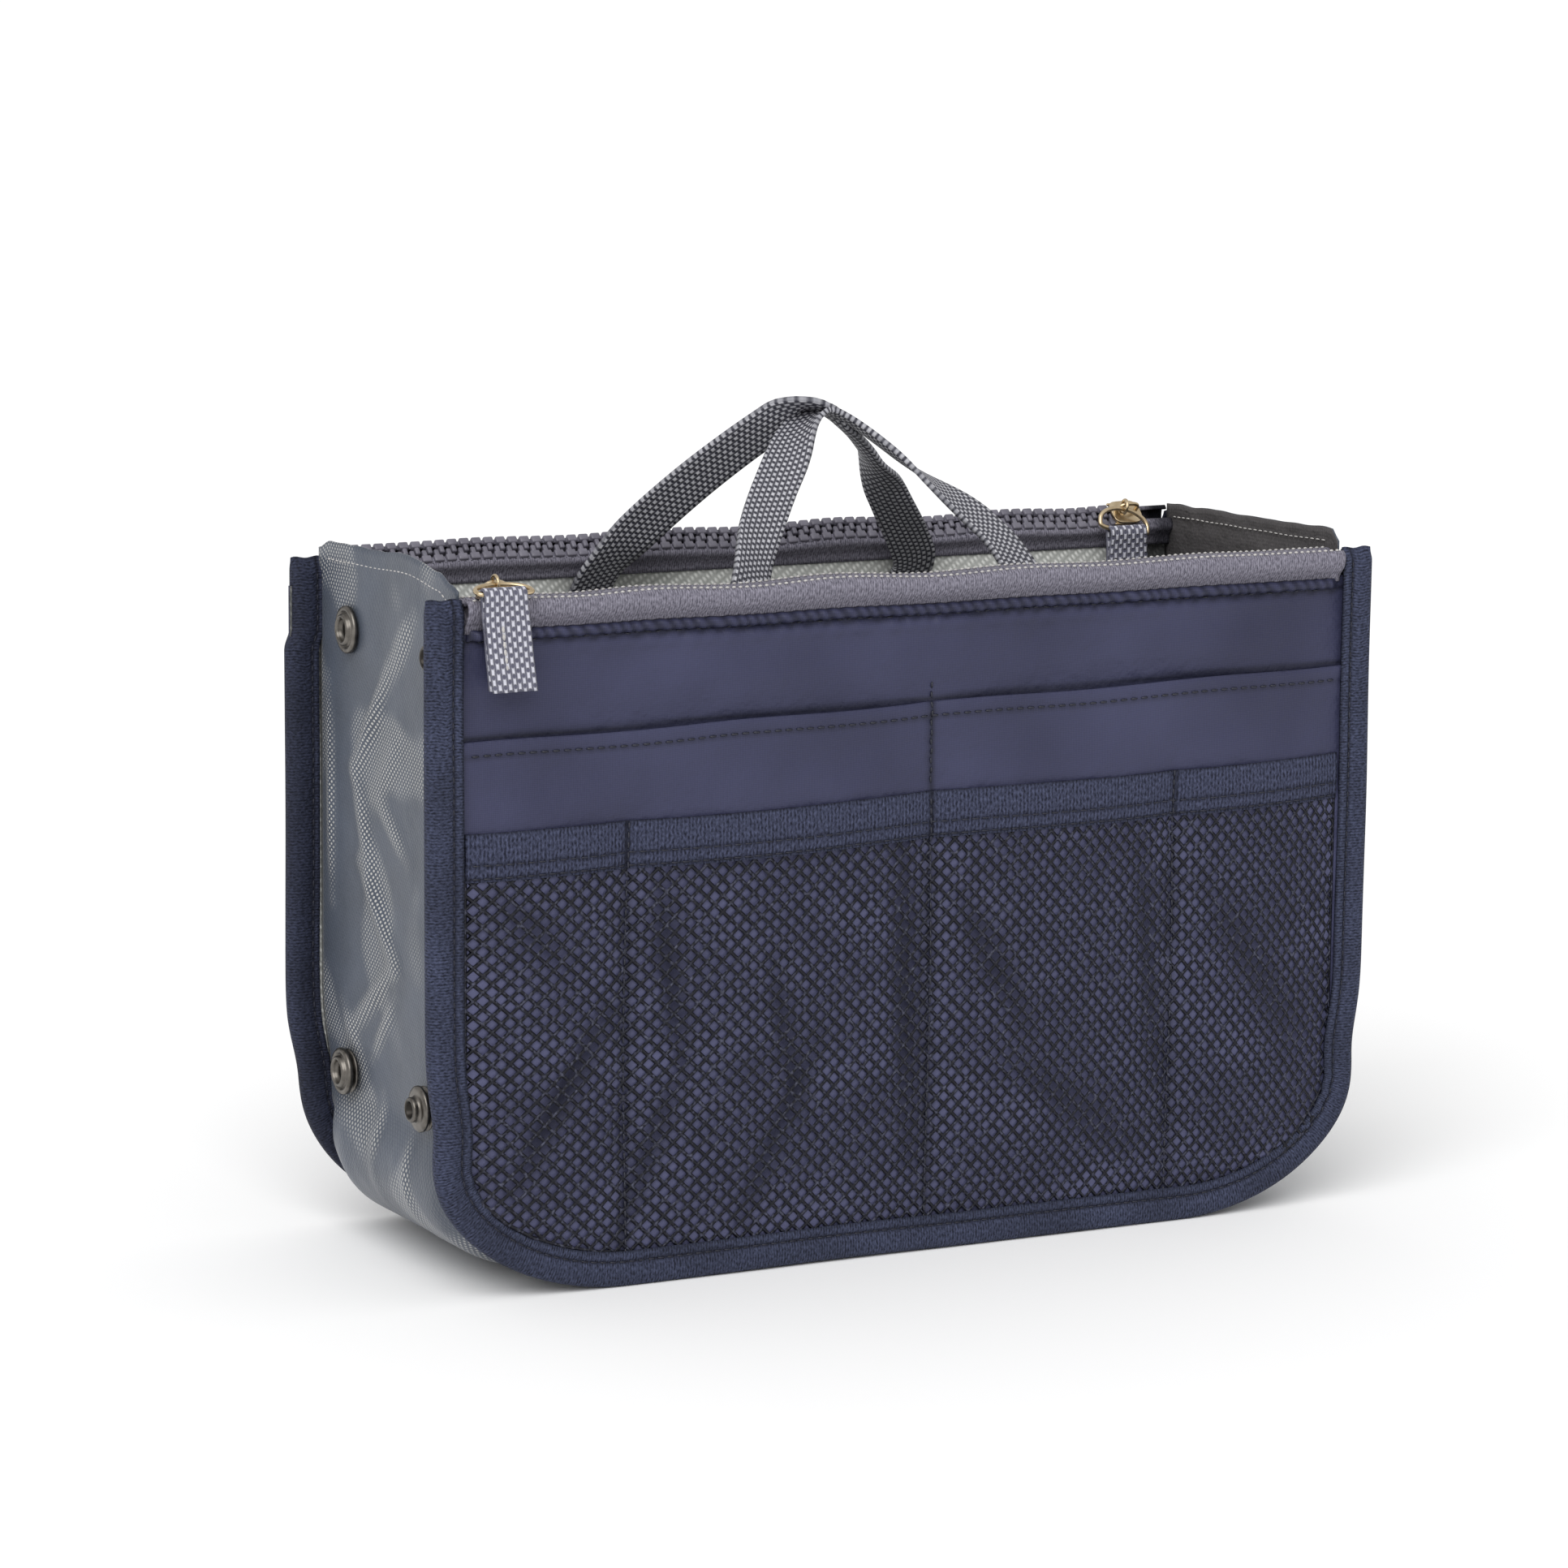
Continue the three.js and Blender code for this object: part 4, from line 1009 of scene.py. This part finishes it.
def wire(bm, line, radius, normal, closed=False, sides=12):
    """A round wire along a flat line of points; normal stands square on the line's plane."""
    rows = len(line) if closed else len(line) - 1
    made = bmesh.ops.create_grid(bm, x_segments=sides, y_segments=rows, size=0.5)
    for v in made["verts"]:
        i = round((v.co.y + 0.5) * rows)
        ahead, behind = (i + 1, i - 1) if closed else (min(i + 1, rows), max(i - 1, 0))
        along = (line[ahead % len(line)] - line[behind % len(line)]).normalized()
        angle = 2 * math.pi * v.co.x
        out = normal * math.cos(angle) + along.cross(normal) * math.sin(angle)
        v.co = line[i % len(line)] + radius * out
    bmesh.ops.remove_doubles(bm, verts=bm.verts, dist=1e-4)


def signed_power(value, power):
    """A power that keeps the value's sign: it squares or rounds the outline of a circle."""
    return math.copysign(abs(value) ** power, value)


for pouch, turned in pouches:
    row = zips[pouch]
    body = bmesh.new()
    for level in (-1.65, 1.65):
        plate = bmesh.ops.create_cone(body, cap_ends=True, segments=48, radius1=1, radius2=1, depth=0.8)
        for v in plate["verts"]:
            half = 3.9 + 0.3 * smoothstep(0.2, -0.5, v.co.x)
            squarer = 0.45 if v.co.x > 0 else 0.75
            # The plates are a little crowned along the middle.
            crown = 0.25 * (1 - v.co.y**2) * math.copysign(1, level) * (v.co.z * level > 0)
            v.co = (
                4.75 * signed_power(v.co.x, squarer), half * signed_power(v.co.y, 0.6),
                v.co.z + level + crown
            )
    # The divider joins the plates at one end, and four flanges run along their sides.
    for x, y, z, long, wide, tall in (
        (-3.3, 0, 0, 1.9, 1.5, 3),
        *((1.9, side * 3.6, face * 0.95, 5.2, 0.6, 0.8) for side in (-1, 1) for face in (-1, 1))
    ):
        block = Matrix.Translation((x, y, z)) @ Matrix.Diagonal((long, wide, tall, 1))
        bmesh.ops.create_cube(body, size=1, matrix=block)
    sharp = [e for e in body.edges if len(e.link_faces) == 2 and e.calc_face_angle() > 0.9]
    bmesh.ops.bevel(
        body, geom=sharp, offset=0.16, segments=3, profile=0.5, affect="EDGES", material=-1
    )
    bends = ((-3, 1.7), (-3, 4.6), (-1.5, 5.5), (1.5, 5.5), (3.2, 4.4), (3.3, 1.7))
    bridge = rounded([Vector((x, 0, z)) for x, z in bends])
    wire(body, bridge, 0.6, Vector((0, 1, 0)))
    bmesh.ops.recalc_face_normals(body, faces=body.faces)
    lean = Matrix.Rotation(math.radians(-row["lean"]), 4, "X")
    place = Matrix.Translation((row["slider"], outer_face + row["depth"], row["height"]))
    bmesh.ops.transform(body, matrix=place @ lean, verts=body.verts)
    finish(
        f"{pouch}_slider_casting", body, pale_gold, f"{pouch}_slider",
        [f"{pouch}_zip_slider"], turned
    )

# Pulls. A small closed link hangs on the bridge, and a D-shaped wire ring hangs in the link. Both
# are plated like the slider, and they swing together.
bridge_rise = 5.35  # from the teeth to the middle of the bridge
ring_angles = {"front": -77, "rear": 26}  # about the zip, in degrees
ring_aside = {"front": 0, "rear": -14}  # about the way that the pull hangs, in degrees
pull_slips = {"front": -0.4, "rear": 2}  # how far the link has slipped along the bridge
ring_drop = 8.3  # from the bridge to the bar of the ring


def ring_line(steps=72):
    """The middle line of the ring in x and z: round above, squarer and flat at the bar."""
    line = []
    for i in range(steps):
        angle = 2 * math.pi * i / steps
        power, tall = (2 / 5, 2.25) if math.sin(angle) < 0 else (1, 4.6)
        x = 7.65 * signed_power(math.cos(angle), power)
        line.append(Vector((x, 0, tall * signed_power(math.sin(angle), power) - 4.6)))
    return line


def pull_place(pouch):
    """Where the pull hangs: the middle of the bridge, turned by the angle that the pull rests at."""
    row = zips[pouch]
    lean = math.radians(row["lean"])
    y = outer_face + row["depth"] + bridge_rise * math.sin(lean)
    x = row["slider"] + pull_slips[pouch]
    hung = Matrix.Translation((x, y, row["height"] + bridge_rise * math.cos(lean)))
    aside = Matrix.Rotation(math.radians(ring_aside[pouch]), 4, "Y")
    return hung @ Matrix.Rotation(math.radians(ring_angles[pouch]), 4, "X") @ aside


for pouch, turned in pouches:
    for name in ("link", "ring"):
        bm = bmesh.new()
        if name == "link":
            angles = [math.pi * i / 20 for i in range(40)]
            link = [Vector((0, 2.05 * math.cos(a), 2.05 * math.sin(a) - 0.75)) for a in angles]
            wire(bm, link, 0.45, Vector((1, 0, 0)), closed=True)
        else:
            ring = [point - Vector((0, 0, 1.45)) for point in ring_line()]
            wire(bm, ring, 0.65, Vector((0, 1, 0)), closed=True)
        bmesh.ops.recalc_face_normals(bm, faces=bm.faces)
        bmesh.ops.transform(bm, matrix=pull_place(pouch), verts=bm.verts)
        finish(
            f"{pouch}_pull_{name}", bm, pale_gold, f"{pouch}_ring",
            [f"{pouch}_zip_{name}"], turned
        )

# Pull tabs. A length of dotted webbing is folded over the bar of the ring and its two plies are
# sewn together with one upright row, a little off the middle.
# The same webbing in a paler blue-grey, with picks 2.7 mm apart that look like rows of dots.
tab_webbing = two_tone_webbing("dotted_tab_webbing", "#525263", ("#A4A4B2", "#DEDEE6"), 2.7)
tab_width = 12.6
tab_slip = 0.9  # how far the tab has slipped to one end of the bar


def askew(pouch, z):
    """How far the tab hangs to one side, at a height from the bar."""
    return (0.1 if pouch == "front" else -0.04) * z


for pouch, turned in pouches:
    bar = pull_place(pouch) @ Vector((0, 0, -ring_drop))
    front_ply = [Vector((-1.6, -25.2)), Vector((-0.8, -16)), Vector((-0.62, -5)), Vector((-1.35, -1.4))]
    back_ply = [Vector((1.35, -1.4)), Vector((0.62, -5)), Vector((0.75, -15)), Vector((0.95, -25))]
    angles = [math.pi * i / 8 for i in range(8, -1, -1)]
    over = [Vector((1.4 * math.cos(a), 1.4 * math.sin(a))) for a in angles]
    line = rounded([*front_ply, *over, *back_ply])
    tab = flat_cloth(tab_width, length_of(line), 0.9)
    for v in tab.verts:
        place, _ = walk(line, v.co.y)
        # It is drawn together over the bar, and its open end curls.
        curl = 0.35 * math.sin(v.co.x * 0.45) * smoothstep(-12, -24, place.y)
        x = v.co.x * (1 - 0.06 * smoothstep(-8, 0, place.y)) - askew(pouch, place.y) - tab_slip
        v.co = bar + Vector((x, place.x + curl, place.y))
    finish(
        f"{pouch}_tab_strip", tab, tab_webbing, f"{pouch}_tab",
        [f"{pouch}_zip_pull_tab"], turned, wall=0.8, middle=0
    )
    sewing = bmesh.new()
    row = []
    for z in range(-8, -23, -1):
        y = -1.15 - 0.25 * smoothstep(-12, -22, z)
        row.append(bar + Vector((-1.6 - askew(pouch, z) - tab_slip, y, z)))
    stitch_row(sewing, row, pitch=2.0, length=2.1, radius=0.5)
    finish(f"{pouch}_tab_stitches", sewing, pale_thread, f"{pouch}_tab", (), turned)

# Gusset. One strip of thin blue-grey cloth makes both sides and the bottom. It is sewn into the
# bindings along both edges, hangs in creases between them and carries the snaps.
gusset_inset = 9.75
gusset_top = 187
gusset_half = 45.6  # half of its width, with the flanges that go into the bindings
# The top edge of the gusset on either side: depth in the bag and height.
gusset_edges = {
    -1: (
        (-45.6, 186.5), (-42, 188), (-32, 190.3), (-11, 192), (15.6, 190.8), (38, 190.2), (45.6, 187.5)
    ),
    1: ((-45.6, 187), (-42, 190), (-14.5, 189.2), (4, 188.8), (24, 188.3), (45.6, 187.6))
}
# Where the snaps hold the cloth flat: side, depth in the bag and height.
snap_spots = [(side, y, z) for side in (-1, 1) for y, z in ((-32, 168), (25, 168), (-22, 47), (29, 47))]


def corner_run(inset, steps=48):
    """The distances round a lower corner, from the side to the bottom, at equal steps of angle."""
    wide, high = corner_wide - inset, corner_high - inset
    run = [0.0]
    for i in range(steps):
        angle = math.pi / 2 * (i + 0.5) / steps
        step = math.hypot(wide * math.sin(angle), high * math.cos(angle)) * math.pi / 2 / steps
        run.append(run[-1] + step)
    return run


def u_line(inset, top, distance):
    """The point at a distance along the U that runs inset from the bag's edge, starting at the
    left top, and the direction out of the bag there, both in x and z."""
    run = corner_runs[inset]
    leg, arc, flat = top - corner_high, run[-1], half_bag - corner_wide
    side = -1 if distance < leg + arc + flat else 1
    from_top = distance if side < 0 else 2 * (leg + arc + flat) - distance
    if from_top >= leg + arc:
        return Vector((side * (flat - (from_top - leg - arc)), inset)), Vector((0, -1))
    if from_top <= leg:
        height = top - from_top
        return Vector((side * (half_bag - inset - lean_in(height)), height)), Vector((side, 0))
    i = bisect.bisect_right(run, from_top - leg) - 1
    share = (from_top - leg - run[i]) / (run[i + 1] - run[i])
    angle = math.pi / 2 * (i + share) / (len(run) - 1)
    wide, high = corner_wide - inset, corner_high - inset
    height = corner_high - high * math.sin(angle)
    place = Vector((side * (flat + wide * math.cos(angle) - lean_in(height)), height))
    return place, Vector((side * math.cos(angle) / wide, -math.sin(angle) / high)).normalized()


def u_length(inset, top):
    """The length of the U that runs inset from the bag's edge."""
    return 2 * (top - corner_high + corner_runs[inset][-1] + half_bag - corner_wide)


corner_runs = {inset: corner_run(inset) for inset in (0, gusset_inset)}

# Ridges of the creased sides: both ends as y and z, half the width, and the height.
side_ridges = (
    (-16, 176, 2, 158, 4.0, 1.5), (2, 160, 24, 130, 2.6, 2.1), (24, 132, 12, 98, 3.4, 1.4),
    (-4, 144, 11, 124, 4.6, 1.0), (11, 126, -10, 110, 3.4, 1.1), (40, 154, 38, 92, 2.6, 1.3),
    (20, 106, -2, 80, 3.2, 2.0), (-2, 82, 28, 58, 3.0, 1.6), (-2, 73, 16, 52, 2.4, 1.2),
    (32, 66, 18, 44, 3.0, 1.1), (10, 44, 8, 24, 3.0, 1.1), (-12, 38, -14, 18, 2.8, 1.1),
    (-34, 120, -30, 76, 3.4, 0.9)
)


def gusset_out(side, y, z, down):
    """How far the gusset stands out of the seam line; down is 1 along the bottom."""
    sagging = 9.2 * (1 - smoothstep(28, 43.8, abs(y))) * down
    sagging += 6 * 4 * down * (1 - down) * (1 - smoothstep(37, 44.4, abs(y)))
    held = smoothstep(46, 38, abs(y)) * (1 - down)
    flip = y if side < 0 else -y
    folds = crease(flip, z, side_ridges)
    hollow = -1.5 * math.cos(math.pi / 2 * min(abs(y) / 44, 1))
    soft = 1.1 * noise.noise((y * 0.04, z * 0.022, 5.5 * side))
    # Round each snap the cloth is drawn flat, further along the bag's depth than up and down.
    snapped = 1
    for spot_side, spot_y, spot_z in snap_spots:
        if spot_side == side:
            snapped *= 1 - math.exp(-((y - spot_y) ** 2) / 480 - ((z - spot_z) ** 2) / 130)
    return sagging + held * snapped * (folds + hollow + soft)


# Thin coated polyester: blue-grey and soft, with a little sheen and painted highlights along its creases.
gusset_cloth, gusset_shader = new_material("coated_grey_gusset", 0.42)
gusset_shader.inputs["Sheen Weight"].default_value = 0.1
gusset_uv = add_node(gusset_cloth, "ShaderNodeUVMap", uv_map="cloth")
gusset_turned = add_node(
    gusset_cloth, "ShaderNodeMapping",
    {"Vector": gusset_uv.outputs[0], "Rotation": (0, 0, math.radians(45))}
)
# The diamond weave is 1.2 mm a cell. Painted highlights show on its raised threads along the
# ridges and in patches. The slow change of tone under it goes over 20 mm.
gusset_threads = [
    add_node(
        gusset_cloth, "ShaderNodeTexWave",
        {"Vector": gusset_turned.outputs[0], "Scale": math.pi / 10 / 1.2, "Distortion": 0.5},
        bands_direction=direction
    ).outputs["Fac"]
    for direction in "XY"
]
gusset_dots = add_node(
    gusset_cloth, "ShaderNodeMath", {0: gusset_threads[0], 1: gusset_threads[1]}, operation="MULTIPLY"
)
gusset_spots = add_node(
    gusset_cloth, "ShaderNodeMapRange",
    {"Value": gusset_dots.outputs[0], "From Min": 0.25, "From Max": 0.6}
)
painted_glint = add_node(gusset_cloth, "ShaderNodeAttribute", attribute_name="painted_glint")
painted_glint_spots = add_node(
    gusset_cloth, "ShaderNodeMath", {0: gusset_spots.outputs[0], 1: painted_glint.outputs["Fac"]},
    operation="MULTIPLY"
)
gusset_slow = add_node(
    gusset_cloth, "ShaderNodeTexNoise", {"Vector": gusset_uv.outputs[0], "Scale": 0.05, "Detail": 4}
)
gusset_ground = add_node(
    gusset_cloth, "ShaderNodeMix",
    {0: gusset_slow.outputs["Fac"], 6: paint("#29303B"), 7: paint("#475060")}, data_type="RGBA"
)
gusset_colour = add_node(
    gusset_cloth, "ShaderNodeMix",
    {0: painted_glint_spots.outputs[0], 6: gusset_ground.outputs[2], 7: paint("#B2B1AE")}, data_type="RGBA"
)
gusset_waves = add_node(
    gusset_cloth, "ShaderNodeBump", {"Height": gusset_slow.outputs["Fac"], "Distance": 1.2 * mm}
)
gusset_raised = add_node(
    gusset_cloth, "ShaderNodeBump",
    {
        "Height": gusset_spots.outputs[0], "Normal": gusset_waves.outputs[0], "Strength": 0.6,
        "Distance": 0.12 * mm
    }
)
gusset_cloth.node_tree.links.new(gusset_colour.outputs[2], gusset_shader.inputs["Base Color"])
gusset_cloth.node_tree.links.new(gusset_raised.outputs[0], gusset_shader.inputs["Normal"])
# The uncoated inside of the same cloth: dull, warm charcoal, with threads 0.9 mm apart.
gusset_lining = woven(
    "charcoal_gusset_inside", "#3A3839", "#5E5B5C", 0.75, 0.9, 0.9, 0.03, cloud=0.7, crumple=2.0,
    fuzzy=0.4
)

gusset_long = u_length(gusset_inset, gusset_top)
bm = flat_cloth(2 * gusset_half, gusset_long, 1.7)
painted_glint_layer = bm.verts.layers.float.new("painted_glint")
for v in bm.verts:
    y = -v.co.x
    place, out = u_line(gusset_inset, gusset_top, v.co.y)
    side = math.copysign(1, place.x)
    down = max(-out.y, 0) ** 2
    rise = eased(gusset_edges[side], y) - gusset_top + 0.5 * noise.noise((y * 0.12, side, 2.2))
    near_top = smoothstep(gusset_top - 26, gusset_top, place.y)
    hem = 0.45 * smoothstep(gusset_top - 6.2, gusset_top - 5.4, place.y)
    reach = gusset_out(side, y, place.y, down) + hem
    place = place + reach * out + Vector((0, rise * near_top))
    # Painted highlights on the ridges of the creases and in loose patches.
    folds = crease(y if side < 0 else -y, place.y, side_ridges) * (1 - down)
    patch = noise.noise((y * 0.05, place.y * 0.04, 30 + side))
    v[painted_glint_layer] = min(smoothstep(0.15, 0.9, folds) + 0.8 * smoothstep(0.05, 0.3, patch), 1)
    v.co = (place.x, y, place.y)
bmesh.ops.recalc_face_normals(bm, faces=bm.faces)
low_face = min(bm.faces, key=lambda f: f.calc_center_median().z)
if low_face.normal.z > 0:
    bmesh.ops.reverse_faces(bm, faces=bm.faces)
gusset = finish("gusset_cloth", bm, gusset_cloth, "front_pouch", ["gusset"], wall=0.5)
gusset.data.materials.append(gusset_lining)
gusset.modifiers["wall"].material_offset = 1
gusset.modifiers["wall"].material_offset_rim = 0
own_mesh(gusset)
# The hem along each top end is sewn with one pale row.
for side, side_name in ((-1, "left"), (1, "right")):
    for face in (-1, 1):
        row = []
        for y in range(-40, 41):
            height = eased(gusset_edges[side], y) - (4.8 if face > 0 else 3.6)
            place, out = u_line(gusset_inset, gusset_top, gusset_top - height)
            reach = gusset_out(side, y, height, 0) + (0.5 if face > 0 else -0.4)
            row.append(Vector((side * abs(place.x) + side * reach, y, height)))
        sewing = bmesh.new()
        stitch_row(sewing, row, pitch=2.6, length=2.1, radius=0.22)
        hem = finish(
            f"gusset_hem_{side_name}_{'outside' if face > 0 else 'inside'}", sewing, pale_thread,
            "front_pouch"
        )
        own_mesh(hem)

# Snaps. Eight spring snaps, two studs and two sockets on each side, let the bag be buttoned
# narrower. Each is spun from dark plated sheet and riveted through the gusset to an inner cap.
# Steel sheet, plated dark: a worn metal shine with patches 2 mm across that are lighter and
# duller, and painted shade, nearly black, where it is hollow.
gunmetal, gun_shader = new_material("gunmetal_plating", 0.3, metallic=1)
gun_place = add_node(gunmetal, "ShaderNodeTexCoord")
gun_worn = add_node(
    gunmetal, "ShaderNodeTexNoise",
    {"Vector": gun_place.outputs["Object"], "Scale": 0.5 / mm, "Detail": 4}
)
gun_tone = add_node(
    gunmetal, "ShaderNodeMix", {0: gun_worn.outputs["Fac"], 6: paint("#37342F"), 7: paint("#8C8781")},
    data_type="RGBA"
)
gun_painted_shade = add_node(gunmetal, "ShaderNodeAttribute", attribute_name="deep")
gun_colour = add_node(
    gunmetal, "ShaderNodeMix",
    {0: gun_painted_shade.outputs["Fac"], 6: gun_tone.outputs[2], 7: paint("#1C1A19")}, data_type="RGBA"
)
gun_dull = add_node(
    gunmetal, "ShaderNodeMapRange", {"Value": gun_worn.outputs["Fac"], "To Min": 0.22, "To Max": 0.5}
)
gunmetal.node_tree.links.new(gun_colour.outputs[2], gun_shader.inputs["Base Color"])
gunmetal.node_tree.links.new(gun_dull.outputs[0], gun_shader.inputs["Roughness"])

# Profiles from the rim to the middle, as radius and height over the cloth.
snap_profiles = {
    "socket": [
        (6.4, 0), (6.4, 0.9), (6.1, 1.3), (5.5, 1.45), (5.0, 1.3), (4.75, 0.7), (4.55, 0.65),
        (4.35, 1.6), (4.1, 2.2), (3.7, 2.45), (3.3, 2.3), (3.05, 1.7), (2.9, 0.8), (2.0, 0.6),
        (1.2, 0.75), (0, 0.9)
    ],
    "stud": [
        (6.2, 0), (6.2, 0.6), (5.8, 1.0), (4.6, 1.25), (3.9, 1.2), (3.5, 1.4), (3.3, 2.2), (3.4, 2.8),
        (3.1, 3.2), (2.6, 3.3), (2.2, 3.0), (2.0, 1.4), (1.2, 1.2), (0, 1.2)
    ],
    "cap": [(6.0, 0), (6.0, 0.3), (5.5, 0.75), (4.2, 1.1), (2.2, 1.3), (0, 1.35)]
}


def spun(profile, hollow, steps=48):
    """A piece turned about z from a profile of radius and height, closed, with painted shade in the middle.
    """
    bm = bmesh.new()
    rows = len(profile) - 1
    bmesh.ops.create_grid(bm, x_segments=steps, y_segments=rows, size=0.5)
    deep = bm.verts.layers.float.new("deep")
    for v in bm.verts:
        radius, height = profile[round((v.co.y + 0.5) * rows)]
        angle = 2 * math.pi * v.co.x
        # Painted shade in the hollow middle, as strong as hollow says.
        v[deep] = hollow * smoothstep(3.3, 2.2, radius)
        v.co = (radius * math.cos(angle), radius * math.sin(angle), height)
    bmesh.ops.remove_doubles(bm, verts=bm.verts, dist=1e-4)
    bmesh.ops.holes_fill(bm, edges=[e for e in bm.edges if e.is_boundary], sides=steps)
    bmesh.ops.recalc_face_normals(bm, faces=bm.faces)
    return bm


for side, side_name in ((-1, "left"), (1, "right")):
    for kind, pouch in (("stud", "front"), ("socket", "rear")):
        for level in ("upper", "lower"):
            for name, profile, outward in (
                (kind, snap_profiles[kind], 1), (f"{kind}_cap", snap_profiles["cap"], -1)
            ):
                node = f"snap_{name}_{level}_{side_name}"
                low, high = (Vector(point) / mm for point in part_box(node))
                middle = (low + high) / 2
                # The face lies on the outside of the cloth, and the cap on the inside.
                middle.x = side * (half_seam + (0.8 if outward > 0 else -0.3))
                facing = Matrix.Rotation(math.radians(90 * side * outward), 4, "Y")
                bm = spun(profile, 0.85 if outward > 0 else 0)
                bmesh.ops.transform(bm, matrix=Matrix.Translation(middle) @ facing, verts=bm.verts)
                finish(
                    f"{kind}_{'cap' if outward < 0 else 'face'}_{level}_{side_name}", bm, gunmetal,
                    f"{pouch}_pouch", [node]
                )

# Edge bindings. A ribbed tape is folded round the raw edges of all the layers of a pouch, from one
# top end under the bottom to the other, and sewn through with one row along its inner edge.
binding_top = 185
sewn_at = 6.9  # from the edge of the bag to the row of stitches
fold_middle = 2.7  # half way through the folded tape
# Polyester tape, dull navy: its ribs cross it 0.8 mm apart, and patches of it are darker. It has
# painted shade in the groove of its stitches, at its inner rim and all over the rear binding.
binding_tape = ribbed("ribbed_edge_binding", "#141725", "#4C526C", 0.8, 0.2, turn=90)
# The folded tape seen on its end: how far in from the edge of the bag, and how far back.
fold_points = (
    (9.8, 0.35), (8.6, 0.0), (7.5, 0.1), (sewn_at, 0.75), (6.3, 0.1), (4.6, -0.35), (2.2, -0.3),
    (0.5, 0.5), (0.0, 1.9), (0.0, 3.6), (0.5, 4.9), (2.2, 5.7), (4.6, 5.7), (6.3, 5.3),
    (sewn_at, 4.8), (7.5, 5.2), (8.8, 5.2)
)
binding_fold = rounded([Vector(point) for point in fold_points])
fold_width = length_of(binding_fold)
binding_long = u_length(0, binding_top)


def binding_place(pouch, inward, back, distance):
    """A point of the binding, which wanders a little, puckers in the corners and is pinched shut
    at its ends."""
    place, out = u_line(0, binding_top, distance)
    turning = math.sin(math.pi * min(max(-out.y, 0), 1)) if abs(out.x) > 0 else 0
    seed = 9.5 if pouch == "front" else 40.5
    wander = 0.55 * noise.noise((distance * 0.018, seed, 0.5))
    pucker = 0.3 * turning * math.sin(distance * 0.9) * smoothstep(1, 8, inward)
    puffed = 1 + 0.12 * noise.noise((distance * 0.04, seed, 8.5))
    from_end = min(distance, binding_long - distance)
    shut = 1 - 0.72 * smoothstep(3.5, 0, from_end)
    deep = fold_middle + (back - fold_middle) * puffed * shut
    place = place - (inward + wander) * out
    if from_end < 40:
        place.y += 0.25 * math.sin(inward)
    if pouch == "rear" and place.x > 0:
        # This top end has slipped a little inwards where it is sewn.
        place.x -= 1.6 * smoothstep(160, 166, place.y)
    return Vector((place.x, outer_face + deep - pucker, place.y))


for pouch, turned in pouches:
    bm = flat_cloth(fold_width, binding_long, 1.0)
    deep = bm.verts.layers.float.new("deep")
    for v in bm.verts:
        spot, _ = walk(binding_fold, v.co.x + fold_width / 2)
        # Painted shade in the stitch groove and at the inner rim, random darker patches, and painted shade
        # over the whole rear binding.
        groove_shade = near(spot.x - sewn_at, 0.55)
        rim = smoothstep(9.0, 9.8, spot.x)
        patches_and_rear_shade = 0.2 + 0.25 * noise.noise((v.co.y * 0.06, spot.x * 0.15, 4.4))
        patches_and_rear_shade += 0.35 * (pouch == "rear")
        v[deep] = max(0.85 * groove_shade, 0.6 * rim, patches_and_rear_shade, 0)
        v.co = binding_place(pouch, spot.x, spot.y, v.co.y)
    bmesh.ops.recalc_face_normals(bm, faces=bm.faces)
    front_face = min(bm.faces, key=lambda f: f.calc_center_median().y)
    if front_face.normal.y > 0:
        bmesh.ops.reverse_faces(bm, faces=bm.faces)
    finish(
        f"{pouch}_binding_tape", bm, binding_tape, f"{pouch}_pouch",
        [f"{pouch}_edge_binding"], turned, wall=0.8
    )
    sewing = bmesh.new()
    for back in (0.45, 5.1):
        row = [binding_place(pouch, sewn_at, back, d) for d in range(3, round(binding_long) - 2)]
        stitch_row(sewing, row, pitch=2.8, length=2.3, radius=0.25)
    finish(f"{pouch}_binding_stitches", sewing, dark_thread, f"{pouch}_pouch", (), turned)
